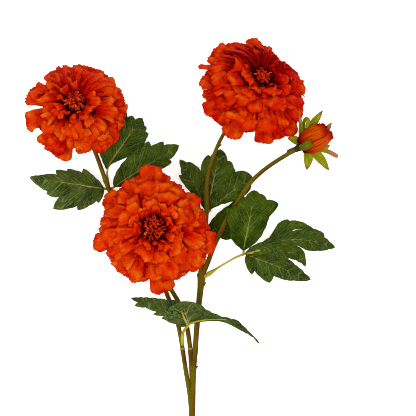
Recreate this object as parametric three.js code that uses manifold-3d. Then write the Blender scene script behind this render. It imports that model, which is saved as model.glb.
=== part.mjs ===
// A spray of marigolds lying on its side: three ruffled double blooms, one bud and five toothed leaves on
// one cut, branching stem. Millimetres. The origin is under the flat spot near the stem's cut end, +Y runs
// from there to the blooms, and +Z is up from the surface that the spray lies on.
import * as THREE from "three";
import { mergeVertices } from "three/addons/utils/BufferGeometryUtils.js";
import Module from "manifold-3d";

const wasm = await Module();
wasm.setup();

// Driving dimensions
const GAP = 0.3; // clearance left where one piece seats on another
const PETAL_THICKNESS = 0.8;
const SEPAL_THICKNESS = 0.9;
const LEAF_THICKNESS = 0.8;
const STEM_SIDES = 7;
const STALK_SIDES = 5;
const PEG_RADIUS = 1.0; // the wire end of a side branch, in its bore in the main stem
const PEG_LENGTH = 6;
const PEG_ROOT = 3; // how far the wire runs on inside the branch
const COLLAR_LENGTH = 8; // the straight end of each arm of the main stem

// Where each bloom's petals begin, how far they reach, and how far the bloom leans and towards where
const BLOOMS = {
  left: { centre: [-98, 321, 21.8], radius: 43, lean: 22, towards: 90, seed: 11 },
  centre: { centre: [-30.5, 221, 36], radius: 49, lean: 3, towards: 100, seed: 23 },
  right: { centre: [54, 338.5, 29.1], radius: 47, lean: 36, towards: 60, seed: 37 },
};

// The rim petals, placed one by one: [azimuth in degrees, then reach, half width and tip height as shares of
// the bloom's radius]
const RIM_PETALS = {
  left: [
    [3, 0.98, 0.17, 0], [27, 1.0, 0.17, -0.04], [47, 1.03, 0.16, -0.09], [67, 1.04, 0.16, -0.12],
    [87, 1.06, 0.16, -0.13], [107, 1.07, 0.15, -0.12], [125, 1.08, 0.14, -0.08], [153, 1.07, 0.17, 0],
    [189, 1.03, 0.2, 0.02], [222, 0.96, 0.13, 0], [238, 1.02, 0.14, -0.04], [258, 1.1, 0.16, -0.08],
    [281, 0.93, 0.15, -0.06], [304, 1.02, 0.16, -0.04], [325, 0.99, 0.15, -0.02], [345, 0.99, 0.16, 0],
  ],
  centre: [
    [12, 0.95, 0.16, -0.06], [32, 0.92, 0.16, -0.08], [52, 0.92, 0.16, -0.08], [73, 0.95, 0.16, -0.05],
    [96, 1.12, 0.18, 0.02], [122, 0.96, 0.16, -0.06], [147, 1.03, 0.17, -0.04], [169, 0.96, 0.15, -0.06],
    [190, 1.09, 0.17, 0], [213, 0.95, 0.15, -0.08], [234, 1.02, 0.16, -0.06], [253, 0.98, 0.14, -0.08],
    [276, 1.15, 0.19, 0], [299, 0.96, 0.15, -0.06], [319, 1.04, 0.16, -0.04], [340, 1.07, 0.17, 0],
    [356, 1.05, 0.14, -0.04],
  ],
  right: [
    [12, 1.0, 0.16, 0.02], [32, 1.03, 0.17, 0.02], [52, 1.0, 0.17, 0.02], [70, 1.08, 0.17, 0.02],
    [89, 1.14, 0.17, 0.02], [110, 1.08, 0.16, 0.02], [132, 1.07, 0.15, 0.02], [156, 1.14, 0.12, 0.02],
    [173, 0.96, 0.14, -0.06], [190, 1.02, 0.14, -0.12], [206, 1.03, 0.16, -0.18],
    [224, 1.02, 0.16, -0.22], [243, 1.06, 0.18, -0.26], [262, 0.94, 0.15, -0.2],
    [277, 1.02, 0.17, -0.18], [296, 0.99, 0.15, -0.12], [313, 1.03, 0.15, -0.06], [333, 0.98, 0.16, 0],
    [353, 0.96, 0.16, 0.02],
  ],
};
const RIM_ROOT = [0.24, 0.08];
const RIM_BEND = [0.62, 0.2];

// The layers above the rim, outermost first: how many petals, then [reach, height] of their root, bend and
// tip and their half width, all as shares of the bloom's radius
const PETAL_LAYERS = [
  { count: 11, root: [0.26, 0.13], bend: [0.58, 0.32], tip: [0.92, 0.17], halfWidth: 0.17 },
  { count: 10, root: [0.26, 0.18], bend: [0.51, 0.45], tip: [0.8, 0.33], halfWidth: 0.155 },
  { count: 8, root: [0.25, 0.23], bend: [0.43, 0.56], tip: [0.66, 0.47], halfWidth: 0.145 },
  { count: 7, root: [0.23, 0.27], bend: [0.34, 0.63], tip: [0.51, 0.58], halfWidth: 0.13 },
  { count: 6, root: [0.21, 0.3], bend: [0.27, 0.62], tip: [0.37, 0.63], halfWidth: 0.09 },
];
const PETAL_SPREAD = [0.2, 0.75, 1.15]; // width at the root, the middle and the tip
const RIM_ROLL = 0.22; // how far each petal lies over its neighbour, like a pinwheel
const PETAL_CUP = -0.06; // negative where the edges fall away
const RIM_WAVE = 0.02;
const LAYER_WAVE = 0.03;
const REACH_RANGE = [0.94, 1.06]; // how much one petal of a layer differs from the next
const WIDTH_RANGE = [0.92, 1.08];
const LIFT_RANGE = [-0.025, 0.025];
const TURN_RANGE = [-0.15, 0.15]; // as a share of the step between two petals
const ROLL_RANGE = [0.14, 0.3];
const WAVE_TURNS = 7; // radians of ruffle per half width

// Points of a blade as [share of its length, share of its half width], from root to tip
const PETAL_ROWS = [
  [[0, -1], [0, 1]],
  [[0.55, -1], [0.55, 1]],
  [[0.82, -1], [0.98, -0.45], [0.95, 0.35], [0.84, 1]],
];
const SEPAL_ROWS = [
  [[0, -1], [0, 1]],
  [[0.35, -1], [0.35, 1]],
  [[0.7, -1], [0.7, 1]],
  [[1, 0]],
];

// The cushion inside each bloom, the well in its middle, and the disc on the floor of the well, about 0.3 mm
// clear of it: [radius, height] shares
const CUSHION = [[0, 0], [0.27, 0], [0.52, 0.1], [0.44, 0.36], [0.26, 0.46], [0.19, 0.36], [0, 0.36]];
const DISC_WELL = [[0, 0.34], [0.165, 0.34], [0.175, 0.9], [0, 0.9]];
const DISC_DOME = [[0, 0.347], [0.145, 0.347], [0.155, 0.41], [0.1, 0.45], [0, 0.465]];
const FLORETS = 12;
const FLORET_SPREAD = 0.11; // share of the bloom's radius that they stand within
const FLORET_FOOT = 0.42;
const FLORET_HEIGHT = [0.08, 0.13];
const FLORET_CURL = 0.03;
const FLORET_RADII = [0.9, 0.8, 0.4]; // at the foot, the middle and the tip
const GOLDEN_ANGLE = 2.4;
const TURNED_SIDES = 10;
const CUSHION_SIDES = 8;

// The cup under each bloom, and its teeth
const CALYX_DEPTH = 0.3;
const CALYX_TEETH = 6;
const CALYX_OUTLINE = [[0.12, 0.85], [0.22, 0.35]]; // [share of the bloom's radius, share of the depth]
const CALYX_RIM = 0.25;
const TOOTH = { // its root, bend and tip as [share of the bloom's radius, share of the depth]
  root: [0.16, 0.5], bend: [0.28, 0.3], tip: [0.4, 0.22], halfWidth: 0.09, spread: [0.8, 1.2, 0.2], cup: 0.2,
};
const CALYX_LIP = 1; // wall at the mouth that the stem goes into
const NECK_RADIUS = 1.7; // of the stem's end, in the cup
const NECK_LEAD = 3; // how far the stem is straight below the cup
const NECK_CLEARANCE = 0.45; // round the stem's end, which still bends a little on its way in

// The bud
const BUD_BASE = [92.5, 290.5, 36];
const BUD_TIP = [117.5, 304.5, 39];
const BUD_RADIUS = 10.6;
const BUD_PETALS = 7;
const BUD_SHARES = [0.015, 0.12, 0.3, 0.5, 0.7, 0.86, 1]; // heights of the rings, as shares of its length
const BUD_STEPS = [[0, 0, 0.04], [0.5, 0.3, 0], [0.93, 1.3, 0.1]]; // turn, drop and shortfall across a petal
const BUD_TWIST = 0.12; // turns from base to tip
const BUD_CUP_DEPTH = 5.5;
const BUD_SEAT = 1.5; // how far below the bud its stem ends
const BUD_CUP_OUTLINE = [[3.1, -5.5], [4.6, -3.6], [6, -1.6], [5.4, 0]];
const SEPAL_ROOT = [4.2, -2];
const SEPAL_SPREAD = [0.7, 1.5, 0.3];
const SEPAL_CUP = 0.15;
const BUD_ROOM = 1; // kept clear between the bud's side and its sepals
const BUD_START = 0.13; // where on a half wave the bud's swell begins
const BUD_SPAN = 0.8; // and how much of the half wave it runs through
const BUD_FULLNESS = 0.8; // below 1 for a fuller side
const BUD_TOP = 0.84; // height of the dimple at its tip, as a share of its length
// Sepals: [azimuth round the bud from straight up, then the bend's and the tip's distance from the axis and
// height, and the half width]
const BUD_SEPALS = [
  [-95, 13, 1, 24, 12, 2.2], [-70, 15, 2, 17, 18.5, 2.6], [-112, 17, 3, 17.5, 31, 3],
  [-150, 20, 5, 10, 34, 2.4], [-84, 10, -3, 12, -6, 3.2], [0, 14, 0, 13.5, 13, 3.4],
  [88, 13, 2, 20, -4, 3.4], [112, 17, 3, 30, 12, 3.8], [74, 18, 4, 23.5, 25, 2.6],
  [42, 18, 3, 14.5, 23, 2.4],
];

// Centre lines of the stems, from the cut end up: [x, y, z, radius]
const MAIN_STEM = [
  [0, -12, 2.45, 2.85], [0, 14, 2.45, 2.85], [0, 30, 2.5, 2.85], [0.2, 45, 2.9, 2.85],
  [0.6, 62, 3.6, 2.8], [1, 75, 4.3, 2.7], [1.6, 90, 5.5, 2.4], [2.6, 105, 7, 2.2],
  [3.6, 118, 8.1, 2.2], [5, 138, 10, 2.4], [6.6, 156, 11.6, 2.5], [8, 169, 12.5, 2.7],
  [9, 180, 13, 3.2], [9.2, 191, 13.9, 2.3], [10.6, 207, 15, 2.1], [12.4, 224, 16, 2],
  [13.4, 241, 16.6, 2], [13.2, 254, 17, 2], [14.8, 268, 17, 1.9], [18.6, 281, 17, 1.7],
  [24, 295, 16, 1.6], [32, 309, 14.6, 1.6], [40.5, 320, 14.2, 1.6],
];
const LEFT_ARM = [[0.6, 66, 3.8, 2.2], [0.9, 80, 4.6, 2.1], [0.2, 98, 6.4, 1.95]];
const CENTRE_ARM = [[0.2, 62, 3.6, 2.2], [-1.2, 77, 4.8, 2.1], [-4.2, 95, 6.4, 1.95]];
const LEFT_BRANCH = [
  [-0.9, 117.5, 8, 1.9], [-2.4, 129, 8.2, 1.9], [-5, 142, 8, 1.9], [-9.6, 155, 7.4, 1.9],
  [-16.6, 167, 7, 1.9], [-27, 183.5, 6.6, 1.9], [-39, 202.5, 6.8, 1.9], [-52, 223.5, 7.6, 1.9],
  [-62.5, 239, 8.6, 2], [-70.5, 254, 9.5, 2], [-76.5, 270, 9.6, 1.9], [-82.5, 286, 8.4, 1.8],
  [-89, 300.5, 6, 1.7], [-94.6, 310, 5.4, 1.7],
];
const CENTRE_BRANCH = [
  [-7.6, 117.5, 8.6, 1.9], [-9.4, 129, 10.2, 1.9], [-12, 141, 12, 1.9], [-16, 153, 13.6, 1.9],
  [-20, 162.5, 14.6, 1.9], [-24, 174, 14.4, 1.9], [-27.6, 187, 13, 1.9], [-30, 201, 12, 1.9],
  [-30.8, 211.5, 13, 1.8], [-30.6, 217.5, 16.4, 1.8],
];
const BUD_BRANCH = [
  [9.4, 180.5, 13.4, 2], [11.6, 186, 15, 2.1], [14.6, 194, 16.6, 2.1], [18.6, 205.5, 18.6, 2],
  [24, 217.5, 20.6, 2], [30.6, 231, 22.2, 2], [38.6, 243.5, 23.2, 2], [48.6, 259.5, 25, 1.9],
  [60.6, 271, 27.6, 1.8], [73, 279.5, 31, 1.8], [81.5, 284.3, 33.8, 1.8],
];

// Leaflets. base is where the blade meets its stalk, heading is in degrees from +X, and the two margins are
// [along, left of the heading] from base to tip. bow is how far the midrib curves to the left, rise how much
// higher the tip is than the base, arch how far the middle stands up, and fold how steeply the blade falls
// away from the midrib.
const RIB_SHARE = 0.94; // the part of the midrib that the last pair of side veins starts below
const LEAF_LEFT = [
  { // the one that points left
    base: [-75.4, 255.6, 12.5], heading: 171.3, length: 64, bow: 0, rise: 3, arch: 4, fold: 0.12,
    left: [[-0.5, 5], [2.5, 13], [4.5, 11.5], [10, 16.5], [19, 22], [20, 18], [26.5, 21.5], [40, 24],
      [38, 16], [34.5, 11.5], [40, 14], [47.5, 12], [47, 9.5], [55, 6.5]],
    right: [[2, -3], [8.5, -8], [13, -11], [19.5, -14.5], [20, -10.5], [26.5, -11.5], [33, -12],
      [32.5, -9.5], [36.5, -10], [42.5, -9.5], [41, -5.5], [48, -5], [52, -4], [56.5, -2.5]],
  },
  { // the one that points up, under the left bloom
    base: [-73.4, 272.6, 8.5], heading: 55.2, length: 53.6, bow: 0, rise: -2, arch: 3, fold: 0.1,
    left: [[2, 3], [5, 8], [10.5, 15], [18, 19.5], [25.5, 20.5], [31.5, 16.5], [35.5, 20], [42, 20.5],
      [43.5, 16], [50, 13.5], [46.5, 10.5], [50.5, 8], [49, 4]],
    right: [[2, -0.5], [6.5, -1], [14, -4.5], [19.5, -9.5], [25.5, -12], [32, -14], [37, -14.5],
      [41, -13.5], [46, -12.5], [45.5, -9.5], [49, -8.5], [49.5, -5.5], [52, -3]],
  },
  { // the one that points right, behind the centre bloom
    base: [-66.2, 257.2, 11.5], heading: 32.6, length: 66, bow: 0, rise: -1, arch: 4, fold: 0.12,
    left: [[1, 4.5], [6, 9.5], [12.5, 13.5], [20.5, 16], [28, 17], [37, 16.5], [46, 17], [45.5, 12],
      [50.5, 11.5], [56.5, 10], [55, 7], [60.5, 4.5]],
    right: [[2, -1.5], [6, -3.5], [14, -7], [21.5, -9], [28, -8], [32.5, -9.5], [38, -9], [41.5, -8.5],
      [48, -9.5], [53, -9], [52.5, -6], [60.5, -4]],
  },
];
const LEAF_BEHIND = [
  { // leans left
    base: [13.2, 236.2, 11], heading: 117.6, length: 50, bow: -1.5, rise: -2, arch: 2, fold: 0.1,
    left: [[4.5, 1.2], [10, 1], [15.5, 3], [23, 5], [29.5, 6.5], [38.5, 7], [37, 4.5], [43, 2.5]],
    right: [[6, -3], [12, -6.5], [22, -10.5], [29.5, -11], [35, -11.5], [39.5, -9.5], [44, -7], [45, -4]],
  },
  { // the middle one
    base: [13.6, 237.1, 10.5], heading: 77.4, length: 53.5, bow: 0, rise: -1, arch: 2, fold: 0.1,
    left: [[3, 1.2], [11.5, 4.5], [22.5, 7], [28.5, 10.5], [35, 13], [41.5, 12.5], [46.5, 9.5], [45.5, 7],
      [50, 4.5]],
    right: [[3, -1], [9.5, -2.5], [19, -6.5], [27, -10.5], [37, -17], [40.5, -14.5], [45, -11.5],
      [45, -8], [51, -4.5]],
  },
  { // leans right
    base: [14.9, 235.8, 11], heading: 38.4, length: 48, bow: 1, rise: -2, arch: 2, fold: 0.1,
    left: [[2, 1.5], [7.5, 4.5], [18.5, 9], [29, 10.5], [39, 12], [44, 10], [47.5, 5]],
    right: [[2, -0.4], [5.5, -0.8], [13, -2.5], [19.5, -5.5], [29, -8], [39.5, -7.5], [43.5, -4.5]],
  },
];
const LEAF_DARK = [
  {
    base: [12.6, 216.3, 8], heading: 45, length: 46.5, bow: -4, rise: -5, arch: 1, fold: 0.06,
    left: [[2, 1.5], [5.5, 4.5], [10, 6], [16.5, 8], [24, 8], [31.5, 6], [40.5, 2.5]],
    right: [[3, -1], [6.5, -9], [8.5, -15.5], [14, -19], [24, -19], [35, -15.5], [41, -6.5]],
  },
];
const LEAF_RIGHT = [
  { // the upright one
    base: [44.6, 202.7, 26.5], heading: 79.2, length: 52, bow: 0, rise: 1, arch: 4, fold: 0.12,
    left: [[2, 3.5], [6.5, 10.5], [10, 13.5], [14.5, 13.5], [18, 15.5], [26, 19.5], [32, 21.5],
      [34, 17.5], [36, 12.5], [42.5, 10.5], [45, 6.5], [49.5, 4]],
    right: [[1.5, -4.5], [5.5, -9], [12.5, -13], [20, -15.5], [28, -16.5], [34.5, -16.5], [39.5, -20.5],
      [44.5, -22], [46.5, -17.5], [46, -11.5], [49, -9], [50, -4.5]],
  },
  { // first lobe of the wide one
    base: [59.5, 203, 25.5], heading: 18, length: 49.5, bow: 9, rise: 1, arch: 2, fold: 0.1,
    left: [[2.5, 5], [10.5, 8], [15.5, 11], [19.5, 15.5], [22.5, 17.5], [29.5, 18], [31, 16], [39, 13],
      [44, 8.5]],
    right: [[5, -1], [9, 0.5], [13, 2], [17, 3.5], [24, 5.5], [31, 6.5], [36, 6], [41, 4.5], [45.5, 2.5]],
  },
  { // second lobe, with the curved midrib
    base: [45.9, 199.2, 25], heading: 4.4, length: 77, bow: 9.5, rise: 1, arch: 4, fold: 0.1,
    left: [[3, 3.5], [10, 8], [18, 9.5], [26.5, 12], [35.5, 16], [43, 17], [51, 18.5], [58.5, 17.5],
      [63.5, 15], [68, 12], [69, 9.5], [73, 5]],
    right: [[4, -1.5], [8.5, -1.5], [16, -0.5], [24, 2], [33, 4.5], [41, 6], [45.5, 4.5], [50.5, 1],
      [55.5, -1], [62, -1.5], [67, -1.8], [71.5, -1]],
  },
  { // third lobe
    base: [59.5, 202.5, 24], heading: -19.7, length: 40.5, bow: 6, rise: -1, arch: 2, fold: 0.1,
    left: [[2, 3], [5.5, 6.5], [12.5, 11.5], [22, 15], [28.5, 14], [34.5, 12], [38.5, 6]],
    right: [[2, -1], [5.5, -2.5], [12, -2.5], [18.5, -1], [25.5, 1.5], [31, 2], [37, 1]],
  },
  { // fourth lobe, which points down
    base: [47.8, 199, 23], heading: -21.4, length: 58.5, bow: 0, rise: -3, arch: 2, fold: 0.12,
    left: [[2, 1.5], [6, 3.5], [10, 5], [13.5, 6], [17.5, 6.8], [22, 7.5], [29.5, 8.5], [36.5, 9.5],
      [41, 8], [45.5, 6.5], [52, 3.5]],
    right: [[-0.5, -4.5], [2, -8], [10, -14.5], [11, -10.5], [17, -13.5], [27, -15.5], [28, -8.5],
      [33, -8.5], [39, -8], [45.5, -6], [52, -4]],
  },
];
const LEAF_FRONT = [
  { // the lobe that points left
    base: [-3, 139, 25], heading: 154, length: 53, bow: -2, rise: 8, arch: 6, fold: 0.3,
    left: [[4, 2], [10, 4], [17, 5], [23, 5.5], [24.5, 3.5], [31, 5], [35, 4.6], [41, 4.5], [43, 3],
      [48, 3.5]],
    right: [[2, -4], [6, -9], [12, -13], [18, -13.5], [23, -12.5], [29, -10.5], [35, -8], [41, -6],
      [45, -4.5], [49, -2.8]],
  },
  { // the middle lobe, which stands up
    base: [-1.5, 139.5, 26], heading: 100, length: 23, bow: 0, rise: 36, arch: 4, fold: 0.5,
    left: [[1, 5], [4, 10], [9, 13.5], [14, 13], [17, 9], [20, 6]],
    right: [[1, -5], [4, -9], [8, -11.5], [12, -11], [15, -8], [19, -5]],
  },
  { // the lobe that droops to the right
    base: [-1, 140.5, 26], heading: -16.7, length: 62, bow: 10, rise: -6, arch: 10, fold: 0.3,
    left: [[2, 6], [6, 11], [11.5, 14], [21, 14.5], [31.5, 14.5], [38.6, 13.6], [41, 10], [44, 9.5],
      [51.5, 5.7]],
    right: [[2, -1.5], [5, 0], [10, 3], [16, 5.5], [24, 8], [32, 8.5], [38, 7], [43, 5.5], [50, 2.8]],
  },
];

// Leaf stalks: [x, y, z, radius]
const STALKS_LEFT = [
  [[-71, 255, 6.2, 1.3], [-73.8, 255.2, 7.4, 1.2], [-75.4, 255.6, 10.5, 1.1], [-78, 256, 12.6, 0.9]],
  [[-71, 255, 6.2, 1.3], [-71.6, 261, 7, 1], [-72.6, 268, 7.8, 0.9], [-71.8, 274.5, 8.6, 0.8]],
  [[-71, 255, 6.2, 1.3], [-68, 256, 7.8, 1.1], [-65.6, 257.5, 10.8, 1], [-62.5, 259.5, 12, 0.8]],
];
const STALKS_BEHIND = [
  [[13.4, 232.5, 16, 1.5], [13.5, 234.4, 12.4, 1.6], [13.4, 238, 10.9, 1], [11.5, 240, 10.9, 0.8]],
  [[13.5, 234.4, 12.4, 1.4], [14.2, 240, 10.7, 0.9]],
  [[13.5, 234.4, 12.4, 1.4], [17, 237.4, 11.1, 0.9]],
];
const STALKS_DARK = [[[11.6, 210.5, 15, 1.1], [12.2, 213.6, 10.4, 1.2], [15.4, 219.2, 7.9, 0.9]]];
const STALKS_RIGHT = [
  [[9.6, 179, 13.4, 2], [15, 183, 16, 1.9], [21.5, 187.5, 18, 1.5], [29, 192.2, 20.2, 1.2],
    [37.5, 197, 22.6, 1.2], [45, 199.5, 24.6, 1.2], [51, 200.6, 26, 1.1], [57.5, 202.6, 27, 1],
    [66, 206.5, 27.6, 0.8]],
  [[44.5, 199.3, 24.5, 1.1], [44.8, 201.6, 25.8, 1], [45.6, 207, 27, 0.8]],
  [[47, 199.5, 24, 1], [53, 197.4, 23.4, 0.8]],
  [[57, 202.4, 26.6, 0.9], [62.5, 202.8, 25, 0.8]],
  [[57, 202.4, 26.6, 0.9], [63, 205.4, 26.4, 0.8]],
];
const STALKS_FRONT = [
  [[-7.7, 119.6, 9.2, 1.1], [-7.6, 125, 13, 1.5], [-7.4, 130.5, 17, 1.2], [-5.4, 135, 21, 1.1],
    [-2.4, 138.4, 24.6, 1.1], [-1.2, 141, 27, 0.9]],
  [[-2.4, 138.4, 24.6, 1], [-7, 141.4, 26.4, 0.8]],
  [[-2.4, 138.4, 24.6, 1], [3.5, 141.5, 27.6, 0.8]],
];

const MATERIALS = {
  petal: new THREE.MeshStandardMaterial({ color: 0xdc460a, roughness: 0.8, metalness: 0 }),
  disc: new THREE.MeshStandardMaterial({ color: 0x8c1a06, roughness: 0.85, metalness: 0 }),
  stem: new THREE.MeshStandardMaterial({ color: 0x74700f, roughness: 0.55, metalness: 0 }),
  sepal: new THREE.MeshStandardMaterial({ color: 0x949a1f, roughness: 0.6, metalness: 0 }),
  leaf: new THREE.MeshStandardMaterial({ color: 0x35501a, roughness: 0.6, metalness: 0 }),
};

// Numbers from 0 to 1 in the same order every run
function seededNumbers(seed) {
  let state = seed;
  return () => {
    state = (Math.imul(state, 1664525) + 1013904223) >>> 0;
    return state / 4294967296;
  };
}

// A closed geometry as a solid that can be joined and cut
function solidOf(geometry) {
  const bare = new THREE.BufferGeometry();
  bare.setAttribute("position", geometry.getAttribute("position"));
  if (geometry.index) bare.setIndex(geometry.index);
  const merged = mergeVertices(bare, 1e-4);
  return new wasm.Manifold(new wasm.Mesh({
    numProp: 3,
    vertProperties: new Float32Array(merged.getAttribute("position").array),
    triVerts: new Uint32Array(merged.index.array),
  }));
}

function geometryOf(solid) {
  const mesh = solid.getMesh();
  const geometry = new THREE.BufferGeometry();
  geometry.setAttribute("position", new THREE.BufferAttribute(mesh.vertProperties, 3));
  geometry.setIndex(new THREE.BufferAttribute(mesh.triVerts, 1));
  return geometry;
}

function joined(solids) {
  return solids.reduce((whole, solid) => whole.add(solid));
}

function geometryFrom(points, triangles) {
  const geometry = new THREE.BufferGeometry().setFromPoints(points);
  geometry.setIndex(triangles.flat());
  return geometry;
}

// A round rod along [x, y, z, radius] points, with flat ends
function rod(points, sides, step = 11) {
  const places = points.map(([x, y, z]) => new THREE.Vector3(x, y, z));
  const curve = new THREE.CatmullRomCurve3(places, false, "centripetal");
  const rings = Math.max(points.length - 1, Math.ceil(curve.getLength() / step));
  const frames = curve.computeFrenetFrames(rings, false);
  const vertices = [];
  const triangles = [];
  for (let ring = 0; ring <= rings; ring++) {
    // The radius follows the share of the centre line that is behind the ring
    const place = curve.getUtoTmapping(ring / rings) * (points.length - 1);
    const before = Math.min(points.length - 2, Math.floor(place));
    const radius = THREE.MathUtils.lerp(points[before][3], points[before + 1][3], place - before);
    const centre = curve.getPointAt(ring / rings);
    for (let side = 0; side < sides; side++) {
      const angle = (side / sides) * Math.PI * 2;
      vertices.push(centre.clone()
        .addScaledVector(frames.normals[ring], radius * Math.cos(angle))
        .addScaledVector(frames.binormals[ring], radius * Math.sin(angle)));
    }
  }
  const last = rings * sides;
  for (let side = 0; side < sides; side++) {
    const next = (side + 1) % sides;
    for (let ring = 0; ring < rings; ring++) {
      const low = ring * sides;
      const high = low + sides;
      triangles.push([low + side, low + next, high + side], [low + next, high + next, high + side]);
    }
    if (side === 0 || side === sides - 1) continue;
    triangles.push([0, side + 1, side], [last, last + side, last + side + 1]);
  }
  return solidOf(geometryFrom(vertices, triangles));
}

function fattened(points, extra) {
  return points.map(([x, y, z, radius]) => [x, y, z, radius + extra]);
}

// A thin plate from a triangulated middle surface, split alike on both faces
function plate(points, triangles, thickness) {
  const normals = points.map(() => new THREE.Vector3());
  const edges = new Map();
  for (const [a, b, c] of triangles) {
    const normal = points[b].clone().sub(points[a]).cross(points[c].clone().sub(points[a]));
    for (const corner of [a, b, c]) normals[corner].add(normal);
    for (const [from, to] of [[a, b], [b, c], [c, a]]) edges.set(`${from},${to}`, [from, to]);
  }
  const half = (sign) => points.map((point, i) => point.clone()
    .addScaledVector(normals[i].clone().normalize(), sign * thickness / 2));
  const count = points.length;
  const faces = [];
  for (const [a, b, c] of triangles) faces.push([a, b, c], [a + count, c + count, b + count]);
  for (const [from, to] of edges.values()) {
    if (edges.has(`${to},${from}`)) continue;
    faces.push([from, from + count, to], [to, from + count, to + count]);
  }
  return solidOf(geometryFrom([...half(1), ...half(-1)], faces));
}

// Triangles between two rows of a blade, given where each row starts in the list of points
function between(lower, lowerStart, upper, upperStart) {
  const triangles = [];
  let i = 0;
  let j = 0;
  while (i < lower.length - 1 || j < upper.length - 1) {
    const lowerNext = i < lower.length - 1 ? lower[i + 1][1] + lower[i][1] : Infinity;
    const upperNext = j < upper.length - 1 ? upper[j + 1][1] + upper[j][1] : Infinity;
    if (lowerNext <= upperNext) {
      triangles.push([lowerStart + i, lowerStart + i + 1, upperStart + j]);
      i += 1;
    } else {
      triangles.push([lowerStart + i, upperStart + j + 1, upperStart + j]);
      j += 1;
    }
  }
  return triangles;
}

// A point of a blade that grows from an axis: root, bend and tip are [distance from the axis, height]
function bladePoint(blade, along, across) {
  const weights = [(1 - along) ** 2, 2 * along * (1 - along), along ** 2];
  const mixed = (a, b, c) => weights[0] * a + weights[1] * b + weights[2] * c;
  const slope = (a, b, c) => 2 * (1 - along) * (b - a) + 2 * along * (c - b);
  const { root, bend, tip, spread } = blade;
  const run = slope(root[0], bend[0], tip[0]);
  const climb = slope(root[1], bend[1], tip[1]);
  const length = Math.hypot(run, climb);
  const side = across * blade.halfWidth * mixed(...spread);
  const ruffle = blade.wave * Math.sin(WAVE_TURNS * across + blade.phase) * along ** 2;
  const lift = blade.roll * side + blade.cup * side * across + ruffle;
  const distance = mixed(root[0], bend[0], tip[0]) - (climb / length) * lift;
  const height = mixed(root[1], bend[1], tip[1]) + (run / length) * lift;
  const cos = Math.cos(blade.azimuth);
  const sin = Math.sin(blade.azimuth);
  return new THREE.Vector3(distance * cos - side * sin, distance * sin + side * cos, height);
}

function bladeSolid(blade, rows, thickness) {
  const points = rows.flat().map(([along, across]) => bladePoint(blade, along, across));
  const triangles = [];
  let start = 0;
  for (let row = 0; row < rows.length - 1; row++) {
    const next = start + rows[row].length;
    triangles.push(...between(rows[row], start, rows[row + 1], next));
    start = next;
  }
  return plate(points, triangles, thickness);
}

function turned(profile, segments, scale = 1) {
  const points = profile.map(([radius, height]) => new THREE.Vector2(radius * scale, height * scale));
  const geometry = new THREE.LatheGeometry(points, segments);
  geometry.rotateX(Math.PI / 2);
  return solidOf(geometry);
}

// The petals of one bloom, in its own frame: the rim as placed, the layers above it by rule
function petalsOf(name) {
  const { radius, seed } = BLOOMS[name];
  const random = seededNumbers(seed);
  const within = (range) => THREE.MathUtils.lerp(...range, random());
  const scaled = ([reach, height]) => [reach * radius, height * radius];
  const petals = RIM_PETALS[name].map(([azimuth, reach, halfWidth, height]) => ({
    azimuth: THREE.MathUtils.degToRad(azimuth),
    root: scaled(RIM_ROOT),
    bend: scaled([RIM_BEND[0] * reach, RIM_BEND[1] + height / 2]),
    tip: scaled([reach, height]),
    halfWidth: halfWidth * radius,
    spread: PETAL_SPREAD,
    roll: RIM_ROLL,
    cup: PETAL_CUP,
    wave: RIM_WAVE * radius,
    phase: random() * Math.PI * 2,
  }));
  for (const layer of PETAL_LAYERS) {
    const turn = random();
    for (let i = 0; i < layer.count; i++) {
      const reach = within(REACH_RANGE);
      const lift = within(LIFT_RANGE);
      const azimuth = ((i + turn + within(TURN_RANGE)) / layer.count) * Math.PI * 2;
      petals.push({
        azimuth,
        root: scaled(layer.root),
        bend: scaled([layer.bend[0], layer.bend[1] + lift]),
        tip: scaled([layer.tip[0] * reach, layer.tip[1] + lift]),
        halfWidth: layer.halfWidth * radius * within(WIDTH_RANGE),
        spread: PETAL_SPREAD,
        roll: within(ROLL_RANGE),
        cup: PETAL_CUP,
        wave: LAYER_WAVE * radius,
        phase: random() * Math.PI * 2,
      });
    }
  }
  return petals;
}

// Curled, three-sided florets that stand round the disc's middle
function florets(radius, random) {
  const solids = [];
  for (let i = 0; i < FLORETS; i++) {
    const azimuth = i * GOLDEN_ANGLE; // so no two line up
    const distance = radius * FLORET_SPREAD * Math.sqrt((i + 0.5) / FLORETS);
    const height = radius * THREE.MathUtils.lerp(...FLORET_HEIGHT, random());
    const curl = azimuth + (random() - 0.5) * 4;
    const bend = radius * FLORET_CURL;
    const x = distance * Math.cos(azimuth);
    const y = distance * Math.sin(azimuth);
    const z = radius * FLORET_FOOT;
    solids.push(rod([
      [x, y, z, FLORET_RADII[0]],
      [x * 1.1, y * 1.1, z + height * 0.6, FLORET_RADII[1]],
      [x + bend * Math.cos(curl), y + bend * Math.sin(curl), z + height, FLORET_RADII[2]],
    ], 3, height));
  }
  return solids;
}

const spray = new THREE.Group();
const floorCut = new THREE.BoxGeometry(900, 900, 60).translate(0, 200, -30);

function addMesh(parent, name, solid, material) {
  const mesh = new THREE.Mesh(geometryOf(solid), material);
  mesh.name = name;
  parent.add(mesh);
  return mesh;
}

// A group whose +Z is the given direction
function standing(position, direction) {
  const group = new THREE.Group();
  group.position.copy(position);
  group.quaternion.setFromUnitVectors(new THREE.Vector3(0, 0, 1), direction.clone().normalize());
  group.updateMatrix();
  spray.add(group);
  return group;
}

// The last stretch of a stem, straight up into the cup it carries
function plugged(points, centre, direction, cupDepth, seat) {
  const along = (distance) => {
    const point = centre.clone().addScaledVector(direction, -distance);
    return [point.x, point.y, point.z, NECK_RADIUS];
  };
  const distances = [cupDepth + NECK_LEAD, cupDepth, (cupDepth + seat) / 2, seat + GAP];
  return [...points, ...distances.map(along)];
}

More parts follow.
